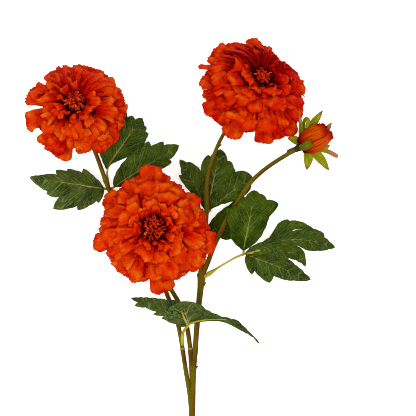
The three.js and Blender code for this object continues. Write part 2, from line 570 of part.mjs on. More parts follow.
// Blooms
const stemEnds = {};
for (const [name, bloom] of Object.entries(BLOOMS)) {
  const lean = THREE.MathUtils.degToRad(bloom.lean);
  const towards = THREE.MathUtils.degToRad(bloom.towards);
  const direction = new THREE.Vector3(
    Math.sin(lean) * Math.cos(towards), Math.sin(lean) * Math.sin(towards), Math.cos(lean));
  const centre = new THREE.Vector3(...bloom.centre);
  const group = standing(centre, direction);
  const { radius } = bloom;
  const ground = solidOf(floorCut.clone().applyMatrix4(group.matrix.clone().invert()));

  const petals = petalsOf(name).map((petal) => bladeSolid(petal, PETAL_ROWS, PETAL_THICKNESS));
  const head = joined([turned(CUSHION, CUSHION_SIDES, radius), ...petals])
    .subtract(turned(DISC_WELL, TURNED_SIDES, radius))
    .subtract(ground);
  addMesh(group, `bloom_${name}`, head, MATERIALS.petal);

  const spikes = florets(radius, seededNumbers(bloom.seed + 1));
  const disc = joined([turned(DISC_DOME, TURNED_SIDES, radius), ...spikes]);
  addMesh(group, `disc_${name}`, disc, MATERIALS.disc);

  const mouth = NECK_RADIUS + NECK_CLEARANCE;
  const depth = CALYX_DEPTH * radius;
  const seat = depth / 3;
  const below = ([reach, down]) => [reach * radius, -down * depth];
  const cup = turned([
    [0, -seat], [mouth, -seat], [mouth, -depth], [mouth + CALYX_LIP, -depth],
    ...CALYX_OUTLINE.map(below),
    [CALYX_RIM * radius, -GAP], [0, -GAP],
  ], TURNED_SIDES);
  const teeth = [];
  for (let i = 0; i < CALYX_TEETH; i++) {
    teeth.push(bladeSolid({
      azimuth: (i / CALYX_TEETH) * Math.PI * 2,
      root: below(TOOTH.root),
      bend: below(TOOTH.bend),
      tip: below(TOOTH.tip),
      halfWidth: TOOTH.halfWidth * radius,
      spread: TOOTH.spread,
      roll: 0,
      cup: TOOTH.cup,
      wave: 0,
      phase: 0,
    }, SEPAL_ROWS, SEPAL_THICKNESS));
  }
  addMesh(group, `calyx_${name}`, joined([cup, ...teeth]), MATERIALS.sepal);
  stemEnds[name] = (points) => plugged(points, centre, direction, depth, seat);
}

// Stems: the main stem with its two arms, then the side branches pegged into the arms
const mainPath = stemEnds.right(MAIN_STEM);
const branches = {
  branch_left: { arm: LEFT_ARM, path: stemEnds.left(LEFT_BRANCH) },
  branch_centre: { arm: CENTRE_ARM, path: stemEnds.centre(CENTRE_BRANCH) },
};
let mainStem = rod(mainPath, STEM_SIDES);
for (const [name, { arm, path }] of Object.entries(branches)) {
  const joint = new THREE.Vector3(...path[0].slice(0, 3));
  const onward = new THREE.Vector3(...path[1].slice(0, 3)).sub(joint).normalize();
  const radius = path[0][3];
  const along = (distance, thickness) => {
    const point = joint.clone().addScaledVector(onward, distance);
    return [point.x, point.y, point.z, thickness];
  };
  const bore = [along(-PEG_LENGTH - GAP, PEG_RADIUS + GAP), along(PEG_ROOT, PEG_RADIUS + GAP)];
  mainStem = mainStem
    .add(rod([...arm, along(-COLLAR_LENGTH, radius), along(-GAP / 2, radius)], STEM_SIDES))
    .subtract(rod(bore, STALK_SIDES));
  const peg = rod([along(-PEG_LENGTH, PEG_RADIUS), along(PEG_ROOT, PEG_RADIUS)], STALK_SIDES);
  const branch = rod([along(GAP / 2, radius), ...path.slice(1)], STEM_SIDES).add(peg);
  addMesh(spray, name, branch, MATERIALS.stem);
}
addMesh(spray, "stem_main", mainStem.subtract(solidOf(floorCut)), MATERIALS.stem);

// The room that a piece must leave round a stem it sits on
const mainRoom = rod(fattened(mainPath, GAP), STEM_SIDES);
const leftRoom = rod(fattened(branches.branch_left.path, GAP), STEM_SIDES);
const centreRoom = rod(fattened(branches.branch_centre.path, GAP), STEM_SIDES);

// The bud, its cup and its branch
const budBase = new THREE.Vector3(...BUD_BASE);
const budAxis = new THREE.Vector3(...BUD_TIP).sub(budBase);
const budLength = budAxis.length();
budAxis.normalize();
const bud = new THREE.Group();
bud.position.copy(budBase);
const budSide = new THREE.Vector3(0, 0, 1).addScaledVector(budAxis, -budAxis.z).normalize();
bud.quaternion.setFromRotationMatrix(
  new THREE.Matrix4().makeBasis(budSide, budAxis.clone().cross(budSide), budAxis));
spray.add(bud);

// The furled petals: each lies a step above the next, and they wind round the bud towards its tip
const swell = (share) => BUD_RADIUS * Math.sin(Math.PI * (BUD_START + BUD_SPAN * share)) ** BUD_FULLNESS;
const budPoints = [new THREE.Vector3(0, 0, 0)];
const budColumns = BUD_PETALS * BUD_STEPS.length;
for (const share of BUD_SHARES) {
  for (let column = 0; column < budColumns; column++) {
    const [turn, drop, shortfall] = BUD_STEPS[column % BUD_STEPS.length];
    const petal = Math.floor(column / BUD_STEPS.length);
    const angle = ((petal + turn) / BUD_PETALS + BUD_TWIST * share) * Math.PI * 2;
    const out = swell(share) - drop * Math.min(1, 4 * share);
    const height = (share - shortfall * share ** 6) * budLength;
    budPoints.push(new THREE.Vector3(out * Math.cos(angle), out * Math.sin(angle), height));
  }
}
budPoints.push(new THREE.Vector3(0, 0, BUD_TOP * budLength));
const budFaces = [];
const budRows = BUD_SHARES.length;
for (let column = 0; column < budColumns; column++) {
  const next = (column + 1) % budColumns;
  budFaces.push([0, 1 + next, 1 + column]);
  for (let row = 0; row < budRows - 1; row++) {
    const low = 1 + row * budColumns;
    const high = low + budColumns;
    budFaces.push([low + column, low + next, high + column], [low + next, high + next, high + column]);
  }
  const top = 1 + (budRows - 1) * budColumns;
  budFaces.push([top + column, top + next, budPoints.length - 1]);
}
addMesh(bud, "bud_petals", solidOf(geometryFrom(budPoints, budFaces)), MATERIALS.petal);

const budMouth = NECK_RADIUS + NECK_CLEARANCE;
const budCup = turned([
  [0, -BUD_SEAT], [budMouth, -BUD_SEAT], [budMouth, -BUD_CUP_DEPTH], ...BUD_CUP_OUTLINE, [0, 0],
], TURNED_SIDES);
const sepals = BUD_SEPALS.map(([azimuth, bendOut, bendUp, tipOut, tipUp, halfWidth]) => bladeSolid({
  azimuth: THREE.MathUtils.degToRad(azimuth),
  root: SEPAL_ROOT,
  bend: [bendOut, bendUp],
  tip: [tipOut, tipUp],
  halfWidth,
  spread: SEPAL_SPREAD,
  roll: 0,
  cup: SEPAL_CUP,
  wave: 0,
  phase: 0,
}, SEPAL_ROWS, SEPAL_THICKNESS));
const budRings = BUD_SHARES.map((share, ring) => [
  swell(share) + (ring === 0 ? GAP : BUD_ROOM), share * budLength,
]);
const budRoom = turned([[0, -GAP / 10], ...budRings, [0, budLength]], TURNED_SIDES);
addMesh(bud, "bud_calyx", joined([budCup, ...sepals]).subtract(budRoom), MATERIALS.sepal);

const budPath = plugged(BUD_BRANCH, budBase, budAxis, BUD_CUP_DEPTH, BUD_SEAT);
const budBranch = rod(budPath, STEM_SIDES).subtract(mainRoom);
addMesh(spray, "branch_bud", budBranch, MATERIALS.stem);

// A leaflet: quads from the midrib's feet to the margin, falling away from the midrib
function leaflet(shape) {
  const { base, heading, length, bow, rise, arch, fold, left, right } = shape;
  const turn = THREE.MathUtils.degToRad(heading);
  const rib = (along) => 4 * bow * (along / length) * (1 - along / length);
  const placed = (along, across) => {
    const share = THREE.MathUtils.clamp(along / length, 0, 1);
    const fall = fold * Math.abs(across - rib(along));
    return new THREE.Vector3(
      base[0] + along * Math.cos(turn) - across * Math.sin(turn),
      base[1] + along * Math.sin(turn) + across * Math.cos(turn),
      base[2] + rise * share + 4 * arch * share * (1 - share) - fall,
    );
  };
  const points = [placed(0, 0)];
  const triangles = [];
  const count = left.length;
  for (let i = 0; i < count; i++) {
    const foot = ((i + 1) / (count + 1)) * length * RIB_SHARE;
    points.push(placed(foot, rib(foot)), placed(...left[i]), placed(...right[i]));
  }
  points.push(placed(length, 0));
  triangles.push([0, 1, 2], [0, 3, 1]);
  for (let i = 0; i < count - 1; i++) {
    const [foot, port, starboard] = [1, 2, 3].map((k) => k + 3 * i);
    triangles.push([foot, port + 3, port], [foot, foot + 3, port + 3]);
    triangles.push([foot, starboard, starboard + 3], [foot, starboard + 3, foot + 3]);
  }
  const [foot, port, starboard] = [1, 2, 3].map((k) => k + 3 * (count - 1));
  const tip = points.length - 1;
  triangles.push([foot, tip, port], [foot, starboard, tip]);
  return plate(points, triangles, LEAF_THICKNESS);
}

function leaf(name, leaflets, stalks, rooms) {
  const blades = leaflets.map(leaflet);
  const whole = joined([...stalks.map((stalk) => rod(stalk, STALK_SIDES)), ...blades]);
  addMesh(spray, name, rooms.reduce((rest, room) => rest.subtract(room), whole), MATERIALS.leaf);
}

const budBranchRoom = rod(fattened(budPath, GAP), STEM_SIDES);
leaf("leaf_left", LEAF_LEFT, STALKS_LEFT, [leftRoom]);
leaf("leaf_behind", LEAF_BEHIND, STALKS_BEHIND, [mainRoom]);
leaf("leaf_dark", LEAF_DARK, STALKS_DARK, [mainRoom]);
leaf("leaf_right", LEAF_RIGHT, STALKS_RIGHT, [mainRoom, budBranchRoom]);
leaf("leaf_front", LEAF_FRONT, STALKS_FRONT, [centreRoom]);

export default spray;
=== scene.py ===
import math

import bpy
import numpy as np
from mathutils import Matrix, Vector


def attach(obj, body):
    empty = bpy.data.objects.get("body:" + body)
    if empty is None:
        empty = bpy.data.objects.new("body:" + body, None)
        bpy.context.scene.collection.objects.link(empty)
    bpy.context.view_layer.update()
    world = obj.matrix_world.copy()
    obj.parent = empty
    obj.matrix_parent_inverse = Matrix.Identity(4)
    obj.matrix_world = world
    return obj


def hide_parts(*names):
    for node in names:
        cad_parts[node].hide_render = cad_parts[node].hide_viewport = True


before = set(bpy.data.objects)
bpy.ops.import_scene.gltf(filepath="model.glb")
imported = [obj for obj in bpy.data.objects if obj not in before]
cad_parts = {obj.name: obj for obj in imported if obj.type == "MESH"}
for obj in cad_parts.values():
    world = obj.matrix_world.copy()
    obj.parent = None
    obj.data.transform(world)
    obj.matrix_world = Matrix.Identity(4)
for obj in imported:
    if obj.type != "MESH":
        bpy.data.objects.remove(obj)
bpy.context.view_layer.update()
bpy.ops.object.select_all(action="DESELECT")

# The surface that the spray lies on
# A sheet of matt white card just below the spray, under an even white sky and two large soft lamps. The card
# gives off a little light of its own, so that shadows on it stay faint.
MM = 0.001
CARD_SIZE = 6
CARD_PLACE = (0, 0.2, -0.4 * MM)
SKY_STRENGTH = 0.82
LAMPS = {  # place, what it points at, size and power
    "key": ((-0.35, -0.25, 1.5), (0, 0.25, 0), 0.7, 12.0),
    "fill": ((0.6, 0.5, 1.3), (0, 0.25, 0), 0.9, 2.5),
}


def put(tree, kind, inputs=None, **settings):
    """A shader node with its settings and inputs, where an input is a value or another node's socket"""
    node = tree.nodes.new("ShaderNode" + kind)
    for name, value in settings.items():
        setattr(node, name, value)
    for name, value in (inputs or {}).items():
        if isinstance(value, bpy.types.NodeSocket):
            tree.links.new(value, node.inputs[name])
        else:
            node.inputs[name].default_value = value
    return node


def new_material(name, **sockets):
    """A material with one Principled shader, and its own values set on the shader's sockets"""
    material = bpy.data.materials.new(name)
    material.use_nodes = True
    shader = material.node_tree.nodes["Principled BSDF"]
    for socket, value in sockets.items():
        shader.inputs[socket.replace("_", " ")].default_value = value
    return material, material.node_tree, shader


def ramp(tree, factor, stops):
    """A colour ramp with stops of (place, (red, green, blue))"""
    node = put(tree, "ValToRGB", {"Fac": factor})
    elements = node.color_ramp.elements
    for element, (place, colour) in zip([elements[0], elements[1]], stops):
        element.position = place
        element.color = (*colour, 1)
    for place, colour in stops[2:]:
        elements.new(place).color = (*colour, 1)
    return node.outputs["Color"]


def dress(tree, shader, colour, relief=None, depth=0.0):
    """Give a material its colour and, where there is one, its relief, with its depth in metres"""
    tree.links.new(colour, shader.inputs["Base Color"])
    if relief:
        bump = put(tree, "Bump", {"Height": relief, "Distance": depth, "Strength": 1.0})
        tree.links.new(bump.outputs["Normal"], shader.inputs["Normal"])


card_white, tree, shader = new_material("card_white", Roughness=0.9, Emission_Color=(1, 1, 1, 1),
                                        Emission_Strength=0.6)
grain = put(tree, "TexNoise", {"Scale": 900.0, "Detail": 2.0})
paper = ramp(tree, grain.outputs["Fac"], [(0, (0.93, 0.93, 0.93)), (1, (0.96, 0.96, 0.96))])
dress(tree, shader, paper)

bpy.ops.mesh.primitive_plane_add(size=CARD_SIZE, location=CARD_PLACE)
card = bpy.context.object
card.name = "card"
card.data.materials.append(card_white)

sky = bpy.data.worlds.new("sky")
sky.use_nodes = True
daylight = sky.node_tree.nodes["Background"]
daylight.inputs["Color"].default_value = (1, 1, 1, 1)
daylight.inputs["Strength"].default_value = SKY_STRENGTH
bpy.context.scene.world = sky

for name, (place, target, size, power) in LAMPS.items():
    aim = Vector(target) - Vector(place)
    bpy.ops.object.light_add(type="AREA", location=place, rotation=aim.to_track_quat("-Z", "Y").to_euler())
    lamp = bpy.context.object
    lamp.name = name
    lamp.data.size = size
    lamp.data.energy = power

# Camera
# It looks straight down. At the height of the largest bloom one pixel of the photograph is 0.85 mm.
PHOTO_PIXELS = 416
PIXEL = 0.85 * MM
EYE = (0.01445, 0.2388, 1.43)
FOCUS_HEIGHT = 0.03
SENSOR = 36
bpy.ops.object.camera_add(location=EYE, rotation=(0, 0, 0))
camera = bpy.context.object
camera.data.sensor_width = SENSOR
camera.data.lens = SENSOR * (EYE[2] - FOCUS_HEIGHT) / (PHOTO_PIXELS * PIXEL)
bpy.context.scene.camera = camera
bpy.context.scene.view_settings.view_transform = "Standard"
bpy.context.scene.cycles.filter_width = 1.0

# Stems
# Wire-cored stems in olive green plastic with a brown flush along one side, fine ridges and small scars
# where leaves came off. The side branches are pushed into collars on two arms of the main stem.
STEM_SIDES = 20
STEM_RIDGES = 0.03  # depth of the ridges as a share of the stem's radius
RIDGE_COUNT = 7
CURVE_POINTS = 12
MAIN_STEM = [  # x, y, height and radius in millimetres, as in the other paths
    (0, -12, 2.45, 2.85), (0, 14, 2.45, 2.85), (0, 30, 2.5, 2.85), (0.2, 45, 2.9, 2.85),
    (0.6, 62, 3.6, 2.8), (1, 75, 4.3, 2.7), (1.6, 90, 5.5, 2.4), (2.6, 105, 7, 2.2),
    (3.6, 118, 8.1, 2.2), (5, 138, 10, 2.4), (6.6, 156, 11.6, 2.5), (8, 169, 12.5, 2.7),
    (9, 180, 13, 3.2), (9.2, 191, 13.9, 2.3), (10.6, 207, 15, 2.1), (12.4, 224, 16, 2),
    (13.4, 241, 16.6, 2), (13.2, 254, 17, 2), (14.8, 268, 17, 1.9), (18.6, 281, 17, 1.7),
    (24, 295, 16, 1.6), (32, 309, 14.6, 1.6), (40.5, 320, 14.2, 1.6),
]
LEFT_ARM = [(0.6, 66, 3.8, 2.2), (0.9, 80, 4.6, 2.1), (0.2, 98, 6.4, 1.95), (-0.9, 117.2, 8, 1.95)]
CENTRE_ARM = [(0.2, 62, 3.6, 2.2), (-1.2, 77, 4.8, 2.1), (-4.2, 95, 6.4, 1.95), (-7.6, 117.2, 8.6, 1.95)]
LEFT_BRANCH = [
    (-0.9, 117.5, 8, 1.9), (-2.4, 129, 8.2, 1.9), (-5, 142, 8, 1.9), (-9.6, 155, 7.4, 1.9),
    (-16.6, 167, 7, 1.9), (-27, 183.5, 6.6, 1.9), (-39, 202.5, 6.8, 1.9), (-52, 223.5, 7.6, 1.9),
    (-62.5, 239, 8.6, 2), (-70.5, 254, 9.5, 2), (-76.5, 270, 9.6, 1.9), (-82.5, 286, 8.4, 1.8),
    (-89, 300.5, 6, 1.7), (-94.6, 310, 5.4, 1.7),
]
CENTRE_BRANCH = [
    (-7.6, 117.5, 8.6, 1.9), (-9.4, 129, 10.2, 1.9), (-12, 141, 12, 1.9), (-16, 153, 13.6, 1.9),
    (-20, 162.5, 14.6, 1.9), (-24, 174, 14.4, 1.9), (-27.6, 187, 13, 1.9), (-30, 201, 12, 1.9),
    (-30.8, 211.5, 13, 1.8), (-30.6, 217.5, 16.4, 1.8),
]
BUD_BRANCH = [
    (9.4, 180.5, 13.4, 2), (11.8, 186, 15, 2.1), (15, 194, 16.6, 2.1), (19.2, 205.1, 18.6, 2),
    (24.6, 217, 20.6, 2), (31.2, 230.5, 22.2, 2), (39.2, 243, 23.2, 2), (49.2, 258.8, 25, 1.9),
    (61, 270.3, 27.6, 1.8), (73.2, 279, 31, 1.8), (81.5, 284.1, 33.8, 1.8),
]
# A bloom's tint and shade is added to each petal's; for the right bloom it is partly a redder tint and
# partly painted shade
BLOOMS = {  # lean is from straight up, in degrees, and towards its direction; seed is for the random draws
    "left": {"centre": (-98, 321, 21.8), "radius": 43, "lean": 22, "towards": 90, "seed": 11,
             "warmth": 0.0},
    "centre": {"centre": (-30.5, 221, 36), "radius": 49, "lean": 3, "towards": 100, "seed": 23,
               "warmth": 0.0},
    "right": {"centre": (54, 338.5, 29.1), "radius": 47, "lean": 36, "towards": 60, "seed": 37,
              "warmth": -0.5},
}
NECK_RADIUS = 1.7
NECK_LENGTH = 3
SEAT_GAP = 0.3
CALYX_DEPTH = 0.3  # as a share of the bloom's radius, like the sizes of the other parts of a head
BUD_BASE = Vector((92.5, 290.5, 36))
BUD_TIP = Vector((117.5, 304.5, 39))
BUD_CUP_DEPTH = 5.5
BUD_SEAT = 1.5
BUD_SLEEVE = [(288.5, 152.6, 31.5), (294, 150, 34)]
SLEEVE_RADIUS = 2.5
COLLARS = [(-0.9, 116.9, 8), (-7.6, 116.9, 8.6), (3.5, 117.2, 8.1)]
COLLAR_RADIUS = 2.35
COLLAR_HEIGHT = 0.9
FLUSH_TURN = 0.35
FLUSH_STRENGTH = 0.2
KNOTS = {  # distance along the stem, extra radius and half length of each swelling
    "main": [(129, 0.35, 4), (193, 0.3, 5)], "left_arm": [(50, 0.25, 1.2)], "centre_arm": [(54, 0.25, 1.2)],
    "left": [(165, 0.3, 2)],
}
SPURS = [  # foot, tip and radius of the stubs of side shoots
    ((3.4, 100, 7), (5.9, 102.6, 8), 0.9), ((6.8, 178, 14), (4.9, 182.6, 15), 1.2),
    ((9.6, 171, 14), (12.6, 175, 15.5), 1.1), ((12.2, 249, 17.6), (10.9, 254.4, 18.4), 1.1),
    ((23, 291, 16.5), (26, 293.6, 17), 0.9),
]


def pick(*pieces):
    """Select some pieces and nothing else, with the first one active"""
    bpy.ops.object.select_all(action="DESELECT")
    for piece in pieces:
        piece.select_set(True)
    bpy.context.view_layer.objects.active = pieces[0]


def corners_of(piece):
    """A piece's corners, in metres"""
    flat = np.empty(len(piece.data.vertices) * 3)
    piece.data.vertices.foreach_get("co", flat)
    return flat.reshape(-1, 3)


def sheet(name, columns, rows, place):
    """A grid whose corners are put where place(u, v) says, in millimetres, for u and v from 0 to 1"""
    bpy.ops.mesh.primitive_grid_add(x_subdivisions=columns, y_subdivisions=rows, size=2)
    grid = bpy.context.object
    grid.name = name
    u, v = (corners_of(grid)[:, axis] / 2 + 0.5 for axis in (0, 1))
    grid.data.vertices.foreach_set("co", (place(u, v) * MM).ravel())
    grid.data.update()
    return grid


def close_seams(piece, gap=0.02):
    """Merge the doubled corners of a sheet that was rolled up, and point its faces outwards"""
    pick(piece)
    bpy.ops.object.mode_set(mode="EDIT")
    bpy.ops.mesh.select_all(action="SELECT")
    bpy.ops.mesh.remove_doubles(threshold=gap * MM)
    bpy.ops.mesh.normals_make_consistent(inside=False)
    bpy.ops.object.mode_set(mode="OBJECT")
    return piece


def smooth_path(points, step):
    """Points and radii at even steps along a smooth line through (x, y, z, radius) points, and directions"""
    points = np.array(points, float)
    points = np.vstack([2 * points[0] - points[1], points, 2 * points[-1] - points[-2]])
    dense = []
    for a, b, c, d in zip(points, points[1:], points[2:], points[3:]):
        knots = np.cumsum([0] + [np.linalg.norm((q - p)[:3]) ** 0.5 for p, q in ((a, b), (b, c), (c, d))])
        t = np.linspace(knots[1], knots[2], CURVE_POINTS, endpoint=False)[:, None]
        mix = lambda p, q, i, j: ((knots[j] - t) * p + (t - knots[i]) * q) / (knots[j] - knots[i])
        ab, bc, cd = mix(a, b, 0, 1), mix(b, c, 1, 2), mix(c, d, 2, 3)
        dense.append(mix(mix(ab, bc, 0, 2), mix(bc, cd, 1, 3), 1, 2))
    dense = np.vstack(dense + [points[-2:-1]])
    lengths = np.concatenate([[0], np.cumsum(np.linalg.norm(np.diff(dense[:, :3], axis=0), axis=1))])
    places = np.linspace(0, lengths[-1], max(2, math.ceil(lengths[-1] / step)) + 1)
    path = np.column_stack([np.interp(places, lengths, column) for column in dense.T])
    directions = np.gradient(path[:, :3], axis=0)
    return path, directions / np.linalg.norm(directions, axis=1)[:, None]


def rod(name, points, sides=STEM_SIDES, step=1.5, ridges=0.0, knots=()):
    """A round stem along (x, y, z, radius) points. A knot is (distance along, extra radius, half length)."""
    path, directions = smooth_path(points, step)
    lengths = np.linspace(0, step * (len(path) - 1), len(path))
    for place, extra, half in knots:
        path[:, 3] += extra * np.exp(-(((lengths - place) / half) ** 2))
    # The first side is square to the stem and to a line that no stem follows. The others turn as little as
    # they can.
    side = np.cross(directions[0], (0.3, 0.2, 1))
    sideways, upwards = [], []
    for direction in directions:
        side = side - direction * side.dot(direction)
        side = side / np.linalg.norm(side)
        sideways.append(side)
        upwards.append(np.cross(direction, side))
    sideways, upwards = np.array(sideways), np.array(upwards)
    # The first and last rings close the ends
    order = np.concatenate([[0], np.arange(len(path)), [len(path) - 1]])
    closed = np.ones(len(order))
    closed[[0, -1]] = 0

    def place(u, v):
        ring = np.rint(v * (len(order) - 1)).astype(int)
        at = order[ring]
        turn = u * 2 * np.pi
        radius = path[at, 3] * closed[ring] * (1 + ridges * np.cos(RIDGE_COUNT * turn))
        out = sideways[at] * np.cos(turn)[:, None] + upwards[at] * np.sin(turn)[:, None]
        return path[at, :3] + out * radius[:, None]

    return close_seams(sheet(name, sides, len(order) - 1, place))


def spur(foot, tip, radius):
    """The stub of a side shoot that was cut away"""
    foot, tip = Vector(foot), Vector(tip)
    path = [(*foot, radius), (*foot.lerp(tip, 0.6), radius * 0.8), (*tip, radius * 0.3)]
    return rod("spur", path, sides=8, step=0.6)


def joined(name, pieces):
    """One mesh of several, under a new name"""
    pick(*pieces)
    bpy.ops.object.join()
    whole = bpy.context.object
    whole.name = name
    whole.data.name = name
    return whole


def coated(piece, material):
    """A piece with its material"""
    piece.data.materials.append(material)
    return piece


def hand_over(piece, slot, *nodes):
    """Smooth a piece, ride it on the frame and let it stand for its nodes"""
    pick(piece)
    bpy.ops.object.shade_smooth()
    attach(piece, "root")
    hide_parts(*nodes)


def neck(centre, direction, depth, seat):
    """The last stretch of a stem, straight up into the cup it carries"""
    places = (depth + NECK_LENGTH, depth, (depth + seat) / 2, seat + SEAT_GAP)
    return [(*(Vector(centre) - direction * place), NECK_RADIUS) for place in places]


def from_photo(x, y, height):
    """The point at a height, in millimetres, that the photograph shows at pixel x, y"""
    away = (EYE[2] - height * MM) / (EYE[2] - FOCUS_HEIGHT) * PIXEL
    across, up = (x - PHOTO_PIXELS / 2) * away, (PHOTO_PIXELS / 2 - y) * away
    return Vector(((EYE[0] + across) / MM, (EYE[1] + up) / MM, height))


def facing(bloom):
    """The direction that a bloom faces"""
    lean, towards = math.radians(bloom["lean"]), math.radians(bloom["towards"])
    return Vector((math.sin(lean) * math.cos(towards), math.sin(lean) * math.sin(towards), math.cos(lean)))


def calc(tree, operation, *values):
    """What a Math node makes of some values"""
    return put(tree, "Math", dict(enumerate(values)), operation=operation).outputs[0]


def noise(tree, where, scale, detail, roughness=0.5):
    """A noise texture's values at a place"""
    inputs = {"Vector": where, "Scale": scale, "Detail": detail, "Roughness": roughness}
    return put(tree, "TexNoise", inputs).outputs["Fac"]


def unrolled(tree):
    """A piece's map, and the map's two axes"""
    uv = put(tree, "UVMap").outputs["UV"]
    axes = put(tree, "SeparateXYZ", {"Vector": uv}).outputs
    return uv, axes["X"], axes["Y"]


def shader_group(name, *inputs):
    """A shader node group and its input sockets"""
    group = bpy.data.node_groups.new(name, "ShaderNodeTree")
    for socket in inputs:
        group.interface.new_socket(socket, in_out="INPUT", socket_type="NodeSocketFloat")
    return group, group.nodes.new("NodeGroupInput").outputs


def give_out(group, **results):
    """Link the results of a shader node group to output sockets of its own"""
    for name in results:
        group.interface.new_socket(name, in_out="OUTPUT", socket_type="NodeSocketFloat")
    end = group.nodes.new("NodeGroupOutput")
    for name, value in results.items():
        group.links.new(value, end.inputs[name])


def blend(tree, factor, first, second, mode="MIX"):
    """A mix of two colours"""
    node = put(tree, "Mix", data_type="RGBA", blend_type=mode)
    for index, value in ((0, factor), (6, first), (7, second)):
        if isinstance(value, bpy.types.NodeSocket):
            tree.links.new(value, node.inputs[index])
        else:
            node.inputs[index].default_value = value if index == 0 else (*value, 1)
    return node.outputs[2]


# Mottle: blotches and small flecks, which most of the materials have
mottle, given = shader_group("mottle", "Blotch Scale", "Fleck Scale")
place = put(mottle, "TexCoord").outputs["Object"]
give_out(mottle, Blotches=noise(mottle, place, given["Blotch Scale"], 3.0),
         Flecks=noise(mottle, place, given["Fleck Scale"], 5.0, 0.7))


def mottled(tree, blotch_scale, fleck_scale):
    """The mottle's blotches and flecks in a material"""
    skin = put(tree, "Group", {"Blotch Scale": blotch_scale, "Fleck Scale": fleck_scale}, node_tree=mottle)
    return skin.outputs["Blotches"], skin.outputs["Flecks"]


def speckled(name, dark, light, roughness, specular):
    """A material with small flecks of a dark and a light colour"""
    material, tree, shader = new_material(name, Roughness=roughness, Specular_IOR_Level=specular)
    flecks = mottled(tree, 120.0, 900.0)[1]
    dress(tree, shader, ramp(tree, flecks, [(0.35, dark), (0.65, light)]))
    return material


# The flush runs along one side of the stem, and the blotches break it up
stem_green, tree, shader = new_material("stem_green", Roughness=0.55, Specular_IOR_Level=0.03)
blotches, flecks = mottled(tree, 45.0, 900.0)
turned_by = calc(tree, "MULTIPLY_ADD", unrolled(tree)[1], 2 * math.pi, FLUSH_TURN)
flush = calc(tree, "MULTIPLY_ADD", calc(tree, "COSINE", turned_by), FLUSH_STRENGTH, blotches)
olive = ramp(tree, flush, [(0.38, (0.125, 0.106, 0.002)), (0.52, (0.14, 0.088, 0.002)),
                           (0.64, (0.118, 0.055, 0.003)), (0.78, (0.09, 0.028, 0.002))])
specks = ramp(tree, flecks, [(0.36, (0.45, 0.4, 0.4)), (0.5, (1, 1, 1))])
dress(tree, shader, blend(tree, 1.0, olive, specks, "MULTIPLY"), flecks, 0.0004)

sleeve_brown = speckled("sleeve_brown", (0.05, 0.03, 0.003), (0.15, 0.09, 0.008), 0.6, 0.06)
collar_pale = speckled("collar_pale", (0.28, 0.24, 0.09), (0.42, 0.38, 0.2), 0.6, 0.06)

necks = {}
for name, bloom in BLOOMS.items():
    depth = CALYX_DEPTH * bloom["radius"]
    necks[name] = neck(bloom["centre"], facing(bloom), depth, depth / 3)
wires = {"main": MAIN_STEM + necks["right"], "left_arm": LEFT_ARM, "centre_arm": CENTRE_ARM}
main_stem = [rod("stem_wire", path, ridges=STEM_RIDGES, knots=KNOTS[name]) for name, path in wires.items()]
main_stem = [coated(piece, stem_green) for piece in main_stem + [spur(*shape) for shape in SPURS]]
for x, y, z in COLLARS:
    ring = rod("collar", [(x, y, z, COLLAR_RADIUS), (x, y + COLLAR_HEIGHT, z, COLLAR_RADIUS)], step=0.45)
    main_stem.append(coated(ring, collar_pale))
hand_over(joined("stem_main_finish", main_stem), "stem", "stem_main")

left_stem = rod("branch_left_finish", LEFT_BRANCH + necks["left"], ridges=STEM_RIDGES, knots=KNOTS["left"])
hand_over(coated(left_stem, stem_green), "stem", "branch_left")
centre_stem = rod("branch_centre_finish", CENTRE_BRANCH + necks["centre"], ridges=STEM_RIDGES)
hand_over(coated(centre_stem, stem_green), "stem", "branch_centre")

bud_axis = (BUD_TIP - BUD_BASE).normalized()
bud_stem = BUD_BRANCH + neck(BUD_BASE, bud_axis, BUD_CUP_DEPTH, BUD_SEAT)
bud_stem = rod("bud_stem", bud_stem, ridges=STEM_RIDGES)
sleeve = rod("sleeve", [(*from_photo(*end), SLEEVE_RADIUS) for end in BUD_SLEEVE], step=1)
bud_stem = [coated(bud_stem, stem_green), coated(sleeve, sleeve_brown)]
hand_over(joined("branch_bud_finish", bud_stem), "stem", "branch_bud")

